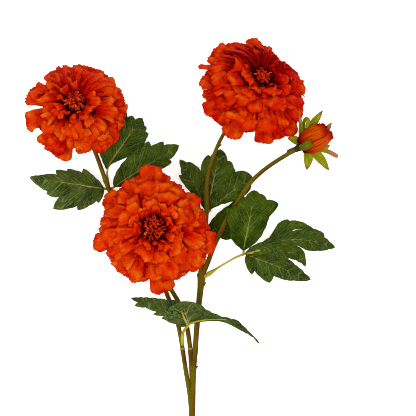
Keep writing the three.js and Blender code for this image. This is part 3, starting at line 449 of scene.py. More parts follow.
# Leaves
# Stiff printed leaves in dark green with raised, paler veins, each on a yellow-green stalk that is pushed
# over a stem. Their margins are cut into pointed lobes, and the blade swells between its veins.
LEAVES = {  # for each lobe: base, heading in degrees, length, bow, rise, arch, fold and painted shade and sheen, then its
    # left and right margins as (along, across) from the base, in millimetres
    "leaf_left": [
        ((-75.4, 255.6, 12.5), 171.3, 64, 0, 3, 4, 0.12, 0.95,
         [(-0.5, 5), (2.5, 13), (4.5, 11.5), (10, 16.5), (19, 22), (20, 18), (26.5, 21.5), (40, 24),
          (38, 16), (34.5, 11.5), (40, 14), (47.5, 12), (47, 9.5), (55, 6.5)],
         [(2, -3), (8.5, -8), (13, -11), (19.5, -14.5), (20, -10.5), (26.5, -11.5), (33, -12),
          (32.5, -9.5), (36.5, -10), (42.5, -9.5), (41, -5.5), (48, -5), (52, -4), (56.5, -2.5)]),
        ((-73.4, 272.6, 8.5), 55.2, 53.6, 0, -2, 3, 0.1, 0.65,
         [(2, 3), (5, 8), (10.5, 15), (18, 19.5), (25.5, 20.5), (31.5, 16.5), (35.5, 20), (42, 20.5),
          (43.5, 16), (50, 13.5), (46.5, 10.5), (50.5, 8), (49, 4)],
         [(2, -0.5), (6.5, -1), (14, -4.5), (19.5, -9.5), (25.5, -12), (32, -14), (37, -14.5), (41, -13.5),
          (46, -12.5), (45.5, -9.5), (49, -8.5), (49.5, -5.5), (52, -3)]),
        ((-66.2, 257.2, 11.5), 32.6, 66, 0, -1, 4, 0.12, 0.65,
         [(1, 3.5), (6, 8), (12.5, 11.5), (20.5, 14), (28, 15.7), (37, 16.3), (46, 17), (45.5, 12),
          (50.5, 11.5), (56.5, 10), (55, 7), (60.5, 4.5)],
         [(2, -1.5), (6, -3.5), (14, -7), (21.5, -9), (28, -8), (32.5, -9.5), (38, -9), (41.5, -8.5),
          (48, -9.5), (53, -9), (52.5, -6), (60.5, -4)]),
    ],
    "leaf_behind": [
        ((13.2, 236.2, 11), 117.6, 50, -1.5, -2, 2, 0.1, 0.65,
         [(4.5, 1.2), (10, 1), (15.5, 3), (23, 5), (29.5, 6.5), (38.5, 7), (37, 4.5), (43, 2.5)],
         [(6, -3), (12, -6.5), (22, -10.5), (29.5, -11), (35, -11.5), (39.5, -9.5), (44, -7), (45, -4)]),
        ((13.6, 237.1, 10.5), 77.4, 53.5, 0, -1, 2, 0.1, 0.65,
         [(3, 1.2), (11.5, 4.5), (22.5, 7), (28.5, 10.5), (35, 13), (41.5, 12.5), (46.5, 9.5), (45.5, 7),
          (50, 4.5)],
         [(3, -1), (9.5, -2.5), (19, -6.5), (27, -10.5), (37, -17), (40.5, -14.5), (45, -11.5), (45, -8),
          (51, -4.5)]),
        ((14.9, 235.8, 11), 38.4, 48, 1, -2, 2, 0.1, 0.65,
         [(2, 1.5), (7.5, 4.5), (18.5, 9), (29, 10.5), (39, 12), (44, 10), (47.5, 5)],
         [(2, 0.3), (5.5, 0.5), (13, -1.7), (19.5, -5), (29, -8), (39.5, -7.5), (43.5, -4.5)]),
    ],
    "leaf_dark": [
        ((12.6, 216.3, 8), 45, 46.5, -4, -5, 1, 0.06, 0.0,
         [(2, 0.6), (5.5, 3.2), (10, 4.4), (16.5, 5), (24, 4.8), (31.5, 3.4), (40.5, 1.5)],
         [(3, -1), (6.5, -9), (8.5, -15.5), (14, -19), (24, -19), (35, -15.5), (41, -6.5)]),
    ],
    "leaf_right": [
        ((44.6, 202.7, 26.5), 79.2, 52, 0, 1, 4, 0.12, 0.45,
         [(2, 3.5), (6.5, 10.5), (10, 13.5), (14.5, 13.5), (18, 15.5), (26, 19.5), (32, 21.5), (34, 17.5),
          (36, 12.5), (42.5, 10.5), (45, 6.5), (49.5, 4)],
         [(1.8, -2.5), (6, -6.5), (12.5, -11), (20, -14), (28, -15.5), (34.5, -16), (39.5, -20.5),
          (44.5, -22), (46.5, -17.5), (46, -11.5), (49, -9), (50, -4.5)]),
        ((59.5, 203, 25.5), 18, 49.5, 9, 1, 2, 0.1, 0.68,
         [(2.5, 5), (10.5, 8), (15.5, 11), (19.5, 15.5), (22.5, 17.5), (29.5, 18), (31, 16), (39, 13),
          (44, 8.5)],
         [(5, -1), (9, 0.5), (13, 2), (17, 3.5), (24, 5.5), (30, 8), (36, 8.8), (42, 7.8), (45.5, 5)]),
        ((45.9, 199.2, 25), 4.4, 77, 9.5, 1, 4, 0.1, 0.68,
         [(3, 3.5), (10, 8), (18, 9.5), (26.5, 12), (35.5, 16), (43, 17), (51, 17.2), (59.5, 17.4),
          (64.5, 15.4), (68.5, 12.6), (68.6, 9.5), (73, 5)],
         [(4, -1.5), (8.5, -1.5), (16, -0.5), (24, 2), (33, 4.5), (41, 7.5), (45.5, 5.5), (50.5, 1),
          (55.5, -1), (62, -1.5), (67, -1.8), (71.5, -1)]),
        ((59.5, 202.5, 24), -19.7, 40.5, 6, -1, 2, 0.1, 0.68,
         [(2, 3), (5.5, 6.5), (12.5, 11.5), (22, 15), (28.5, 14), (34.5, 12), (38.5, 6)],
         [(2, -1), (5.5, -2.5), (12, -2.5), (18.5, -0.6), (25.5, 2.2), (31, 2.8), (37, 1.6)]),
        ((47.8, 199, 23), -21.4, 58.5, 0, -3, 2, 0.12, 0.68,
         [(2, 1.5), (6, 3.5), (10, 5), (13.5, 6), (17.5, 6.8), (22, 7.5), (29.5, 8.5), (36.5, 8.8),
          (41, 7), (45.5, 5.6), (52, 3)],
         [(-0.5, -4.5), (2, -8), (10, -14.5), (11, -10.5), (17, -13.5), (27, -15.5), (28, -8.5),
          (33, -8.5), (39, -8), (45.5, -6), (52, -4)]),
    ],
    "leaf_front": [
        ((-3, 139, 25), 154, 53, -3, 8, 6, 0.3, 1.0,
         [(4, 3.7), (8, 2.6), (12, 2), (15.6, 2.5), (22.7, 4.1), (19.8, 0.4), (30.6, 4.1), (27, 0.1),
          (38.6, 1.4), (47.8, 4.5), (45.8, 0.3)],
         [(2, -5), (6, -10), (11, -14), (17, -15.5), (22.7, -12.7), (25.7, -11.8), (32.6, -9.7),
          (39.2, -7.1), (44, -5), (48.3, -3.1), (51, -1.5)]),
        ((-1.5, 139.5, 25.6), 105, 22, 0, 32, 4, 0.6, 1.0,
         [(1, 6), (4, 12), (9, 18), (14, 19), (18, 14), (21, 7)],
         [(1, -5), (4, -10.5), (8, -15), (12, -16), (16, -12), (20, -6)]),
        ((-1, 140.5, 26), -16.7, 62, 12.5, -6, 10, 0.3, 1.0,
         [(1, 8), (3, 14), (7, 16), (10, 15.2), (16, 14.2), (24, 13.6), (33, 13.9), (38, 14.3), (43, 11.6),
          (50, 7.4), (56, 4.3)],
         [(3, 1), (6, 3.2), (10, 5.2), (16, 8.1), (24, 10.5), (33, 12.2), (38, 9.4), (43, 7), (46, 6.6),
          (50, 5.6), (56, 3.8)]),
    ],
}
STALKS = {
    "leaf_left": [
        [(-71, 255, 6.2, 1.3), (-73.8, 255.2, 7.4, 1.2), (-75.4, 255.6, 10.5, 1.1), (-78, 256, 12.6, 0.9)],
        [(-71, 255, 6.2, 1.3), (-71.6, 261, 7, 1), (-72.6, 268, 7.8, 0.9), (-71.8, 274.5, 8.6, 0.8)],
        [(-71, 255, 6.2, 1.3), (-68, 256, 7.8, 1.1), (-65.6, 257.5, 10.8, 1), (-62.5, 259.5, 12, 0.8)],
    ],
    "leaf_behind": [
        [(13.4, 232.5, 16, 1.5), (13.5, 234.4, 12.4, 1.6), (13.4, 238, 10.9, 1), (11.5, 240, 10.9, 0.8)],
        [(13.5, 234.4, 12.4, 1.4), (14.2, 240, 10.7, 0.9)],
        [(13.5, 234.4, 12.4, 1.4), (17, 237.4, 11.1, 0.9)],
    ],
    "leaf_dark": [[(11.6, 210.5, 15, 1.1), (12.2, 213.6, 10.4, 1.2), (15.4, 219.2, 7.9, 0.9)]],
    "leaf_right": [
        [(9.6, 178.6, 13.4, 1.1), (15.2, 182.3, 16, 1.2), (21.8, 186.8, 18, 1), (29.4, 191.5, 20.2, 0.9),
         (37.8, 196.4, 22.6, 0.95), (45, 199.3, 24.6, 1.1), (51, 200.6, 26, 1.1), (57.5, 202.6, 27, 1),
         (66, 206.5, 27.6, 0.7), (71, 208.6, 28, 0.35)],
        [(44.5, 199.3, 24.5, 1.1), (44.8, 201.6, 25.8, 1), (45.6, 207, 27, 0.8)],
        [(47, 199.5, 24, 1), (53, 197.4, 23.4, 0.8)],
        [(57, 202.4, 26.6, 0.9), (62.5, 202.8, 25, 0.8)],
        [(57, 202.4, 26.6, 0.9), (63, 205.4, 26.4, 0.8)],
    ],
    "leaf_front": [
        [(-7.7, 119.6, 9.2, 1.1), (-7.6, 125, 13, 1.5), (-7.4, 130.5, 17, 1.2), (-5.4, 135, 21, 1.1),
         (-2.4, 138.4, 24.6, 1.1), (-1.2, 141, 27, 0.9)],
        [(-2.4, 138.4, 24.6, 1), (-7, 141.4, 26.4, 0.8)],
        [(-3, 139.2, 26.2, 1), (-4.4, 143, 34.8, 0.9), (-7.8, 152.4, 49.8, 0.6)],
        [(-1.2, 141, 27.5, 0.9), (10, 143.4, 30.6, 0.65), (25, 144.5, 33.4, 0.45), (34.5, 143.5, 33.2, 0.3)],
    ],
}
LEAF_SHEATH = [(9.6, 178.6, 13.4, 1.2), (13, 180.8, 15, 1.8), (16, 182.8, 16.3, 2), (20, 185.6, 17.6, 1.2)]
STALK_SIDES = 12
LEAF_THICKNESS = 0.6
RIB_SHARE = 0.96
VEIN_SLANT = 1.5
VEIN_STEP = 0.02
ROWS_BETWEEN_VEINS = 6
LEAF_COLUMNS = 24
MARGIN_BULGE = 0.07
MARGIN_WAVE = 0.5
BLADE_SWELL = 1.0
GROOVE_DEPTH = 0.35
RIB_WIDTH = 0.06
FINE_GAP = 0.001


def groove(across, width):
    """The depth of the crease along the middle of a blade"""
    return GROOVE_DEPTH * np.exp(-((across / width) ** 2))


def thickened(piece, thickness):
    """A sheet with its thickness, half to each side"""
    pick(piece)
    solid = piece.modifiers.new("thickness", "SOLIDIFY")
    solid.thickness = thickness * MM
    solid.offset = 0
    bpy.ops.object.modifier_apply(modifier=solid.name)
    return piece


def marked(piece, name, value):
    """A piece with a number of its own, which its material reads"""
    layer = piece.data.attributes.new(name, "FLOAT", "POINT")
    layer.data.foreach_set("value", np.full(len(piece.data.vertices), float(value)))
    return piece


def leaflet(base, heading, length, bow, rise, arch, fold, shade_and_sheen, left, right):
    """One lobe of a leaf, as rows that run from its midrib out to its margins"""
    turn = math.radians(heading)
    veins = len(left) + 1
    marks = np.arange(veins + 1)
    rib = lambda along: 4 * bow * (along / length) * (1 - along / length)
    # A vein leaves the midrib before the place on the margin that it runs to
    sides = np.array([left, right], float)
    feet = (sides[:, :, 0] - VEIN_SLANT * np.abs(sides[:, :, 1])).mean(axis=0)
    least = np.arange(1, veins) * VEIN_STEP * length
    feet = np.maximum.accumulate(np.maximum(feet, least) - least) + least
    feet = feet * min(1, RIB_SHARE * length / feet[-1])
    foot_at = np.concatenate([[0], feet, [length]])
    margins = []
    for outwards, side in ((1, left), (-1, right)):
        margin = np.array([(0, 0), *side, (length, 0)], float)
        steps = np.diff(margin, axis=0)
        out = np.column_stack([-steps[:, 1], steps[:, 0]]) * outwards
        margins.append((margin, np.vstack([out, out[-1]]) * MARGIN_BULGE * 4))

    def place(u, v):
        row = v * veins
        step = np.minimum(row.astype(int), veins - 1)
        share = row - step
        reach = np.abs(2 * u - 1)
        along_foot = np.interp(row, marks, foot_at)
        foot = np.column_stack([along_foot, rib(along_foot)])
        edge = np.empty_like(foot)
        for (margin, out), chosen in zip(margins, (u >= 0.5, u < 0.5)):
            line = np.column_stack([np.interp(row, marks, column) for column in margin.T])
            line += out[step] * (share * (1 - share))[:, None]
            edge[chosen] = line[chosen]
        along, across = (foot + (edge - foot) * reach[:, None]).T
        on = np.clip(along / length, 0, 1)
        height = base[2] + rise * on + 4 * arch * on * (1 - on)
        height -= fold * np.abs(across - rib(along))
        height += BLADE_SWELL * np.sin(np.pi * share) * 4 * reach * (1 - reach)
        height += MARGIN_WAVE * np.sin(2.1 * row + 3 * u) * reach**3 - groove(reach, RIB_WIDTH)
        x = base[0] + along * math.cos(turn) - across * math.sin(turn)
        y = base[1] + along * math.sin(turn) + across * math.cos(turn)
        return np.column_stack([x, y, height])

    blade = sheet("leaflet", LEAF_COLUMNS, veins * ROWS_BETWEEN_VEINS, place)
    # The map's second axis counts the veins
    for corner in blade.data.uv_layers.active.data:
        corner.uv.y *= veins
    return marked(close_seams(blade, FINE_GAP), "shade_and_sheen", shade_and_sheen)


def ranged(tree, value, low, high, start=0.0, end=1.0, kind="LINEAR"):
    """A value brought from one range to another"""
    inputs = {"Value": value, "From Min": low, "From Max": high, "To Min": start, "To Max": end}
    return put(tree, "MapRange", inputs, interpolation_type=kind).outputs[0]


def off_middle(tree, value):
    """How far a value is from a half"""
    return calc(tree, "ABSOLUTE", calc(tree, "SUBTRACT", value, 0.5))


def own_value(tree, name):
    """The number that a piece was marked with"""
    return put(tree, "Attribute", attribute_name=name).outputs["Fac"]


# Veins: a midrib, side veins at whole numbers of the map's second axis, and a fine net between them
veins, given = shader_group("veins", "Net Scale")
uv, across, along = unrolled(veins)
off_rib = off_middle(veins, across)
on_rib = ranged(veins, off_rib, 0.01, 0.03, 1.0, 0.0, "SMOOTHSTEP")
curved = calc(veins, "MULTIPLY_ADD", calc(veins, "POWER", off_rib, 2.0), 1.6, along)
drift = noise(veins, put(veins, "TexCoord").outputs["Object"], 70.0, 1.0)
drifted = calc(veins, "SUBTRACT", calc(veins, "MULTIPLY_ADD", drift, 0.7, curved), 0.35)
# Ping-pong is 0 at even and 1 at odd whole numbers, so the middle between two veins is at a half
off_between = off_middle(veins, calc(veins, "PINGPONG", drifted, 1.0))
near = calc(veins, "SUBTRACT", off_between, calc(veins, "MULTIPLY", off_rib, 0.2))
on_vein = ranged(veins, near, 0.31, 0.43, kind="SMOOTHSTEP")
stretched = put(veins, "Mapping", {"Vector": uv, "Scale": (3.2, 1.3, 1.0)}).outputs[0]
net = noise(veins, stretched, given["Net Scale"], 2.0, 0.6)
on_net = ranged(veins, off_middle(veins, net), 0.008, 0.05, 1.0, 0.0, "SMOOTHSTEP")
give_out(veins, Rib=on_rib, Side=on_vein, Net=on_net)

leaf_green, tree, shader = new_material("leaf_green", Roughness=0.6, Specular_IOR_Level=0.0)
marks = put(tree, "Group", {"Net Scale": 2.6}, node_tree=veins).outputs
blotches, _ = mottled(tree, 90.0, 1500.0)
green = ramp(tree, blotches, [(0.34, (0.01, 0.028, 0.0)), (0.66, (0.046, 0.083, 0.002))])
for mark, share, colour in (("Net", 0.6, (0.13, 0.18, 0.045)), ("Side", 0.52, (0.17, 0.22, 0.05)),
                            ("Rib", 0.8, (0.25, 0.25, 0.035))):
    green = blend(tree, calc(tree, "MULTIPLY", marks[mark], share), green, colour)
# Painted shade and painted sheen: a low number darkens a lobe's green where it lies in shade, a high one
# lightens and greys it as a sheen
painted_shade_and_sheen = ramp(tree, own_value(tree, "shade_and_sheen"), [(0.0, (0.9, 0.9, 0.4)), (0.5, (1.05, 1.05, 0.8)),
                                            (1.0, (1.65, 1.37, 2.6))])
relief = calc(tree, "MAXIMUM", marks["Side"], marks["Rib"])
relief = calc(tree, "MULTIPLY_ADD", marks["Net"], -0.4, relief)
relief = calc(tree, "MULTIPLY", relief, -1.0)
dress(tree, shader, blend(tree, 1.0, green, painted_shade_and_sheen, "MULTIPLY"), relief, 0.0008)

stalk_yellow, tree, shader = new_material("stalk_yellow", Roughness=0.5, Specular_IOR_Level=0.06)
blotches, flecks = mottled(tree, 90.0, 900.0)
yellow = ramp(tree, blotches, [(0.35, (0.24, 0.19, 0.005)), (0.65, (0.42, 0.37, 0.03))])
dress(tree, shader, yellow, flecks, 0.0002)

for name, shapes in LEAVES.items():
    blades = thickened(joined("blades", [leaflet(*shape) for shape in shapes]), LEAF_THICKNESS)
    stalks = [rod("stalk", stalk, sides=STALK_SIDES, step=1) for stalk in STALKS[name]]
    if name == "leaf_right":
        stalks.append(rod("sheath", LEAF_SHEATH, step=1))
    parts = [coated(blades, leaf_green)] + [coated(stalk, stalk_yellow) for stalk in stalks]
    hand_over(joined(name + "_finish", parts), "leaf", name)

# Cups under the blooms
# Moulded green cups with six pointed teeth, which hold the petals and take the end of the stem.
CUP_OUTLINE = [(0.12, 0.85), (0.22, 0.35)]  # shares of the bloom's radius and of the cup's depth
CUP_RIM = 0.25
CUP_TOP = -0.3
CUP_SIDES = 24
MOUTH_RADIUS = NECK_RADIUS + 0.45
TOOTH_COUNT = 6
TOOTH = {"root": (0.16, 0.5), "bend": (0.28, 0.3), "tip": (0.4, 0.22)}
TOOTH_FORM = {"spread": (0.8, 1.2, 0.2), "roll": 0, "cup": 0.15, "sway": 0}
TOOTH_HALF_WIDTH = 0.09
TOOTH_THICKNESS = 0.7
TOOTH_COLUMNS = 10
TOOTH_ROWS = 16
TOOTH_CREASE = 0.2


def blade_place(blade, across, along, relief):
    """Points of a blade that grows from an axis: root, bend and tip are (distance from the axis, height)"""
    mixed = lambda a, b, c: (1 - along) ** 2 * a + 2 * along * (1 - along) * b + along**2 * c
    slope = lambda a, b, c: 2 * (1 - along) * (b - a) + 2 * along * (c - b)
    root, bend, tip = blade["root"], blade["bend"], blade["tip"]
    run, climb = slope(root[0], bend[0], tip[0]), slope(root[1], bend[1], tip[1])
    length = np.hypot(run, climb)
    side = across * blade["half_width"] * mixed(*blade["spread"])
    lift = blade["roll"] * side + blade["cup"] * side * across + relief
    side = side + blade["sway"] * (along - 1)
    distance = mixed(root[0], bend[0], tip[0]) - climb / length * lift
    height = mixed(root[1], bend[1], tip[1]) + run / length * lift
    cos, sin = math.cos(blade["azimuth"]), math.sin(blade["azimuth"])
    return np.column_stack([distance * cos - side * sin, distance * sin + side * cos, height])


def cup_tooth(blade):
    """A pointed green blade with a crease along its middle"""

    def place(u, v):
        across = (2 * u - 1) * (1 - v**4)
        return blade_place(blade, across, v, -groove(across, TOOTH_CREASE) * (1 - v))

    piece = sheet("tooth", TOOTH_COLUMNS, TOOTH_ROWS, place)
    return close_seams(thickened(piece, TOOTH_THICKNESS), FINE_GAP)


def turned(name, profile, levels=2):
    """A piece turned round the Z axis from a profile of (radius, height), and smoothed"""
    profile = np.array(profile, float)

    def place(u, v):
        row = np.rint(v * (len(profile) - 1)).astype(int)
        radius, height = profile[row].T
        return np.column_stack([radius * np.cos(2 * np.pi * u), radius * np.sin(2 * np.pi * u), height])

    piece = close_seams(sheet(name, CUP_SIDES, len(profile) - 1, place))
    smooth = piece.modifiers.new("smooth", "SUBSURF")
    smooth.levels = smooth.render_levels = levels
    bpy.ops.object.modifier_apply(modifier=smooth.name)
    return piece


def turn_of(bloom):
    """The turn that makes a piece round the Z axis face the way that a bloom does"""
    return Vector((0, 0, 1)).rotation_difference(facing(bloom))


def stand(piece, centre, turn):
    """Set a piece that was made round the Z axis on its centre, turned to face its own way"""
    piece.data.transform(Matrix.Translation(Vector(centre) * MM) @ turn.to_matrix().to_4x4())
    return piece


sepal_green, tree, shader = new_material("sepal_green", Roughness=0.55, Specular_IOR_Level=0.02)
blotches, _ = mottled(tree, 120.0, 1200.0)
uv, _, along = unrolled(tree)
stretched = put(tree, "Mapping", {"Vector": uv, "Scale": (9.0, 1.2, 1.0)}).outputs[0]
fibre = noise(tree, stretched, 2.0, 3.0)
green = ramp(tree, fibre, [(0.35, (0.14, 0.145, 0.0)), (0.5, (0.23, 0.235, 0.001)),
                           (0.66, (0.33, 0.33, 0.02))])
shaded = blend(tree, own_value(tree, "shadiness"), green, (0.014, 0.018, 0.0))
pinkness = own_value(tree, "pinkness")
along = calc(tree, "ADD", along, calc(tree, "MULTIPLY", blotches, 0.3))
along = calc(tree, "MULTIPLY_ADD", pinkness, 0.45, along)
brown = blend(tree, pinkness, (0.25, 0.09, 0.01), (0.47, 0.19, 0.09))
tips = blend(tree, ranged(tree, along, 0.96, 1.12), shaded, brown)
dress(tree, shader, tips, fibre, 0.0004)

for name, bloom in BLOOMS.items():
    radius = bloom["radius"]
    depth = CALYX_DEPTH * radius
    profile = [(0, -depth / 3), (MOUTH_RADIUS, -depth / 3), (MOUTH_RADIUS, -depth)]
    profile.append((MOUTH_RADIUS + 1, -depth))
    profile += [(reach * radius, -down * depth) for reach, down in CUP_OUTLINE]
    profile += [(CUP_RIM * radius, CUP_TOP), (CUP_RIM * radius / 2, CUP_TOP), (0, CUP_TOP)]
    parts = [turned("cup", profile)]
    tooth = {part: (reach * radius, -down * depth) for part, (reach, down) in TOOTH.items()}
    tooth.update(TOOTH_FORM, half_width=TOOTH_HALF_WIDTH * radius)
    for i in range(TOOTH_COUNT):
        parts.append(cup_tooth({**tooth, "azimuth": i / TOOTH_COUNT * 2 * math.pi}))
    cup = stand(joined(f"calyx_{name}_finish", parts), bloom["centre"], turn_of(bloom))
    hand_over(coated(cup, sepal_green), "sepal", f"calyx_{name}")

# Blooms
# Double heads of silk petals, crimped and pinked along their outer edges. The petals are set in layers on a
# padded core, each layer over the one below, and their tips are curled down round a hot iron.
RIM_PETALS = {  # azimuth in degrees, then reach, half width and tip height as shares of the bloom's radius
    "left": [
        (3, 1.01, 0.17, 0), (26, 1.02, 0.17, -0.04), (47, 1.05, 0.16, -0.09), (67, 1.09, 0.16, -0.12),
        (87, 1.07, 0.16, -0.13), (106, 1.09, 0.15, -0.12), (124, 1.1, 0.13, -0.08),
        (147, 1.08, 0.12, -0.04), (162, 1.08, 0.15, 0), (195, 1.05, 0.19, 0.02), (224, 0.99, 0.12, 0),
        (239, 1.02, 0.14, -0.04), (255, 1.06, 0.16, -0.08), (280, 0.91, 0.14, -0.06),
        (304, 1.02, 0.16, -0.04), (321, 1.04, 0.15, -0.02), (344, 1.0, 0.16, 0),
    ],
    "centre": [
        (12, 0.93, 0.16, -0.06), (30, 0.78, 0.14, -0.08), (53, 0.85, 0.15, -0.08), (68, 0.9, 0.15, -0.05),
        (81, 1.0, 0.13, 0), (94.5, 1.11, 0.17, 0.02), (110, 0.99, 0.13, -0.04), (130, 0.95, 0.15, -0.06),
        (146, 1.04, 0.15, -0.04), (163, 0.96, 0.14, -0.06), (178, 0.96, 0.12, -0.06), (194, 1.1, 0.15, 0),
        (211, 0.96, 0.15, -0.08), (227, 1.0, 0.14, -0.07), (241, 0.99, 0.15, -0.06),
        (254, 0.96, 0.13, -0.08), (278, 1.13, 0.19, 0), (298, 0.97, 0.15, -0.06),
        (321, 1.06, 0.15, -0.04), (333, 1.02, 0.11, -0.04), (346, 1.1, 0.18, 0), (357, 0.97, 0.12, -0.04),
    ],
    "right": [
        (8, 1.0, 0.15, 0.02), (28, 0.96, 0.15, 0.02), (46, 0.76, 0.12, 0.02), (73, 1.13, 0.12, 0.02),
        (85, 1.16, 0.14, 0.02), (98, 1.08, 0.15, 0.02), (112, 1.1, 0.16, 0.02), (128, 1.1, 0.15, 0.02),
        (141, 1.03, 0.13, 0.02), (158, 1.12, 0.08, 0.02), (166, 0.98, 0.12, -0.02),
        (175, 1.02, 0.11, -0.08), (189, 0.99, 0.12, -0.1), (205, 1.06, 0.16, -0.18),
        (222, 0.97, 0.15, -0.22), (241, 1.04, 0.17, -0.26), (266, 0.7, 0.1, -0.2),
        (281, 1.03, 0.17, -0.18), (296, 1.03, 0.14, -0.12), (311, 1.1, 0.15, -0.06), (330, 1.01, 0.17, 0),
        (350, 0.96, 0.15, 0.02),
    ],
}
RIM_GAPS = {"left": (124, 162, 195), "centre": (), "right": (46, 175, 241, 266)}  # no filler follows these
RIM_ROOT = (0.24, 0.08)
RIM_BEND = (0.62, 0.2)
SEEN_PETALS = {  # pixel of the photograph at the middle of a tip, the tip's width in pixels, and its tint and shade, which mostly paints light and shade
    "left": [
        (50, 80, 14, 0.65), (64, 72, 13, 0.5), (73, 80, 6, 0.7), (87, 72, 13, 0.4), (101, 79, 7, 0.55),
        (117, 90, 16, 0.5), (108, 84, 12, 0.45), (115, 100, 8, 0.75), (117, 107, 14, 0.5),
        (118, 118, 14, 0.45), (106, 127, 9, 0.8), (103, 131, 13, 0.55), (90, 126, 10, 0.65),
        (74, 131, 16, 0.8), (56, 136, 13, 0.85), (70, 139, 14, 0.5), (86, 138, 11, 0.55),
        (97, 138, 7, 0.65), (108, 138, 13, 0.45), (88, 150, 18, 0.5), (74, 149, 12, 0.5),
        (41, 113, 12, 0.6), (45, 120, 12, 0.65), (40, 99, 12, 0.5), (42, 107, 10, 0.55),
        (44, 133, 13, 0.4), (55, 108, 7, 0.45), (58, 117, 9, 0.7), (96, 97, 9, 0.5), (93, 111, 8, 0.5),
        (87, 119, 8, 0.6), (62, 88, 9, 0.3), (99, 105, 11, 0.5),
    ],
    "centre": [
        (146, 182, 21, 0.6), (168, 180, 17, 0.5), (153, 193, 18, 0.45), (171, 192, 16, 0.6),
        (180, 187, 15, 0.4), (200, 199, 20, 0.6), (189, 205, 16, 0.6), (199, 217, 14, 0.75),
        (187, 213, 14, 0.65), (183, 226, 18, 0.55), (184, 242, 14, 0.5), (203, 246, 14, 0.5),
        (179, 254, 15, 0.45), (185, 261, 14, 0.4), (201, 263, 14, 0.5), (188, 269, 14, 0.5),
        (170, 277, 20, 0.5), (158, 264, 17, 0.5), (168, 263, 7, 0.85), (153.5, 282, 14, 0.55),
        (141, 259, 17, 0.55), (134, 279, 14, 0.5), (122, 267, 12, 0.5), (112, 255, 13, 0.3),
        (119, 249, 11, 0.5), (115, 236, 14, 0.5), (125, 237, 13, 0.5), (103, 239, 15, 0.35),
        (101, 222, 16, 0.35), (117, 218, 13, 0.65), (109, 210, 12, 0.5), (128, 206, 14, 0.6),
        (118, 192, 17, 0.5), (131, 196, 12, 0.5), (131, 216, 12, 0.5), (142, 208, 11, 0.75),
        (151, 200, 11, 0.35), (161, 202, 10, 0.5), (168, 207, 7, 0.3), (176, 212, 11, 0.6),
        (173, 222, 7, 0.4), (147, 247, 6, 0.2), (157, 245, 5, 0.0), (168, 250, 7, 0.3),
        (174, 240, 7, 0.35), (133, 228, 8, 0.4),
    ],
    "right": [
        (219, 57, 15, 0.45), (230, 47, 6, 0.55), (240, 48, 6, 0.5), (238, 58, 8, 0.55),
        (232, 66, 11, 0.3), (226, 79, 18, 0.6), (241, 73, 14, 0.6), (212, 77, 9, 0.7),
        (210, 68, 11, 0.45), (254, 90, 11, 0.6), (226, 89, 11, 0.45), (211, 85, 13, 0.35),
        (212, 93, 11, 0.4), (223, 102, 13, 0.4), (237, 103, 11, 0.75), (239, 111, 15, 0.35),
        (249, 105, 12, 0.6), (253, 115, 11, 0.3), (258, 104, 10, 0.5), (267, 95, 11, 0.95),
        (279, 96, 13, 0.85), (262, 110, 11, 0.35), (274, 108, 24, 0.7), (287, 108, 12, 0.4),
        (237, 127, 27, 0.65), (248, 130, 14, 0.3), (268, 120, 15, 0.4), (258, 121, 9, 0.5),
        (270, 134, 20, 0.45), (284, 128, 10, 0.65), (305, 90, 16, 0.5), (292, 91, 11, 0.5),
        (297, 104, 13, 0.4), (290, 79, 10, 0.5), (246, 84, 9, 0.3), (252, 78, 8, 0.4), (263, 88, 9, 0.35),
        (244, 93, 13, 0.5), (236, 92, 10, 0.4), (248, 98, 8, 0.3),
    ],
}
DARK_FOLDS = {  # pixel where the outer end of a dark, narrow fold shows in the photograph; a sunk, very dark petal there is painted shade
    "left": [(52, 90), (84, 130), (64, 128), (104, 93)],
    "centre": [(144.5, 276), (147, 268), (138.5, 193), (178.5, 200.5), (122, 243)],
    "right": [(238, 54), (247, 48), (260, 50), (281, 66), (229, 112), (256, 122)],
}
FOLD_WIDTH, FOLD_SHADE, FOLD_DEPTH = 0.9, -2, -2.2
LAYER_FORM = np.array([  # reach of the tip, then (reach, height) of root and bend, and the tip's height
    (0.26, 0.19, 0.36, 0.2, 0.54, 0.53), (0.35, 0.195, 0.36, 0.26, 0.58, 0.55),
    (0.43, 0.2, 0.35, 0.3, 0.61, 0.54), (0.56, 0.2, 0.33, 0.4, 0.6, 0.48),
    (0.7, 0.22, 0.27, 0.48, 0.55, 0.39), (0.82, 0.24, 0.2, 0.55, 0.45, 0.28),
    (0.93, 0.26, 0.13, 0.6, 0.34, 0.14), (1.1, 0.26, 0.1, 0.7, 0.24, 0.0),
]).T
UNDER_PETALS = [(8, 0.82, 0.17), (7, 0.66, 0.16)]
UNDER_DEPTH = 0.15
LONG_PETALS = {"left": (20, 132), "centre": (0, 0), "right": (8, 142)}  # sector in degrees
LONG_STEP = 8
LONG_FORM = {"root": (0.19, 0.38), "bend": (0.5, 0.66), "tip": (0.98, 0.1)}
LONG_FALL = ((0.5, 1), (0.42, 0.1))  # reach of a long petal's tip, and its height
LONG_ROWS = [(-0.04, 0.5, 0.7, 0.9), (0.02, 0.78, 0.92, 0.2)]  # lift, least and greatest reach, and tint and shade, which paints lit and shaded streaks
LONG_WIDTH = (0.05, 0.1)
LONG_ROLL = (0.3, 0.6)
LONG_EDGE_SHADE = 0.6
INNER_PETALS = [(13, 0.44, 0.048), (13, 0.35, 0.036), (7, 0.28, 0.03)]
INNER_LIMIT = 0.34  # in the sector of the long petals only shorter ones than this stand before them
SEEN_WIDTH = 0.62
LOOSENESS = {"left": 2.6, "centre": 2.6, "right": 3.6}
PETAL_SPREAD = (0.25, 0.9, 1.06)
PETAL_ARC = 0.85  # length of a petal as a share of its reach
PETAL_MOODS = {"roll": (-0.25, 0.3), "cup": (-0.28, 0.02), "sway": (-6, 6), "tilt": (-0.3, 0.3)}
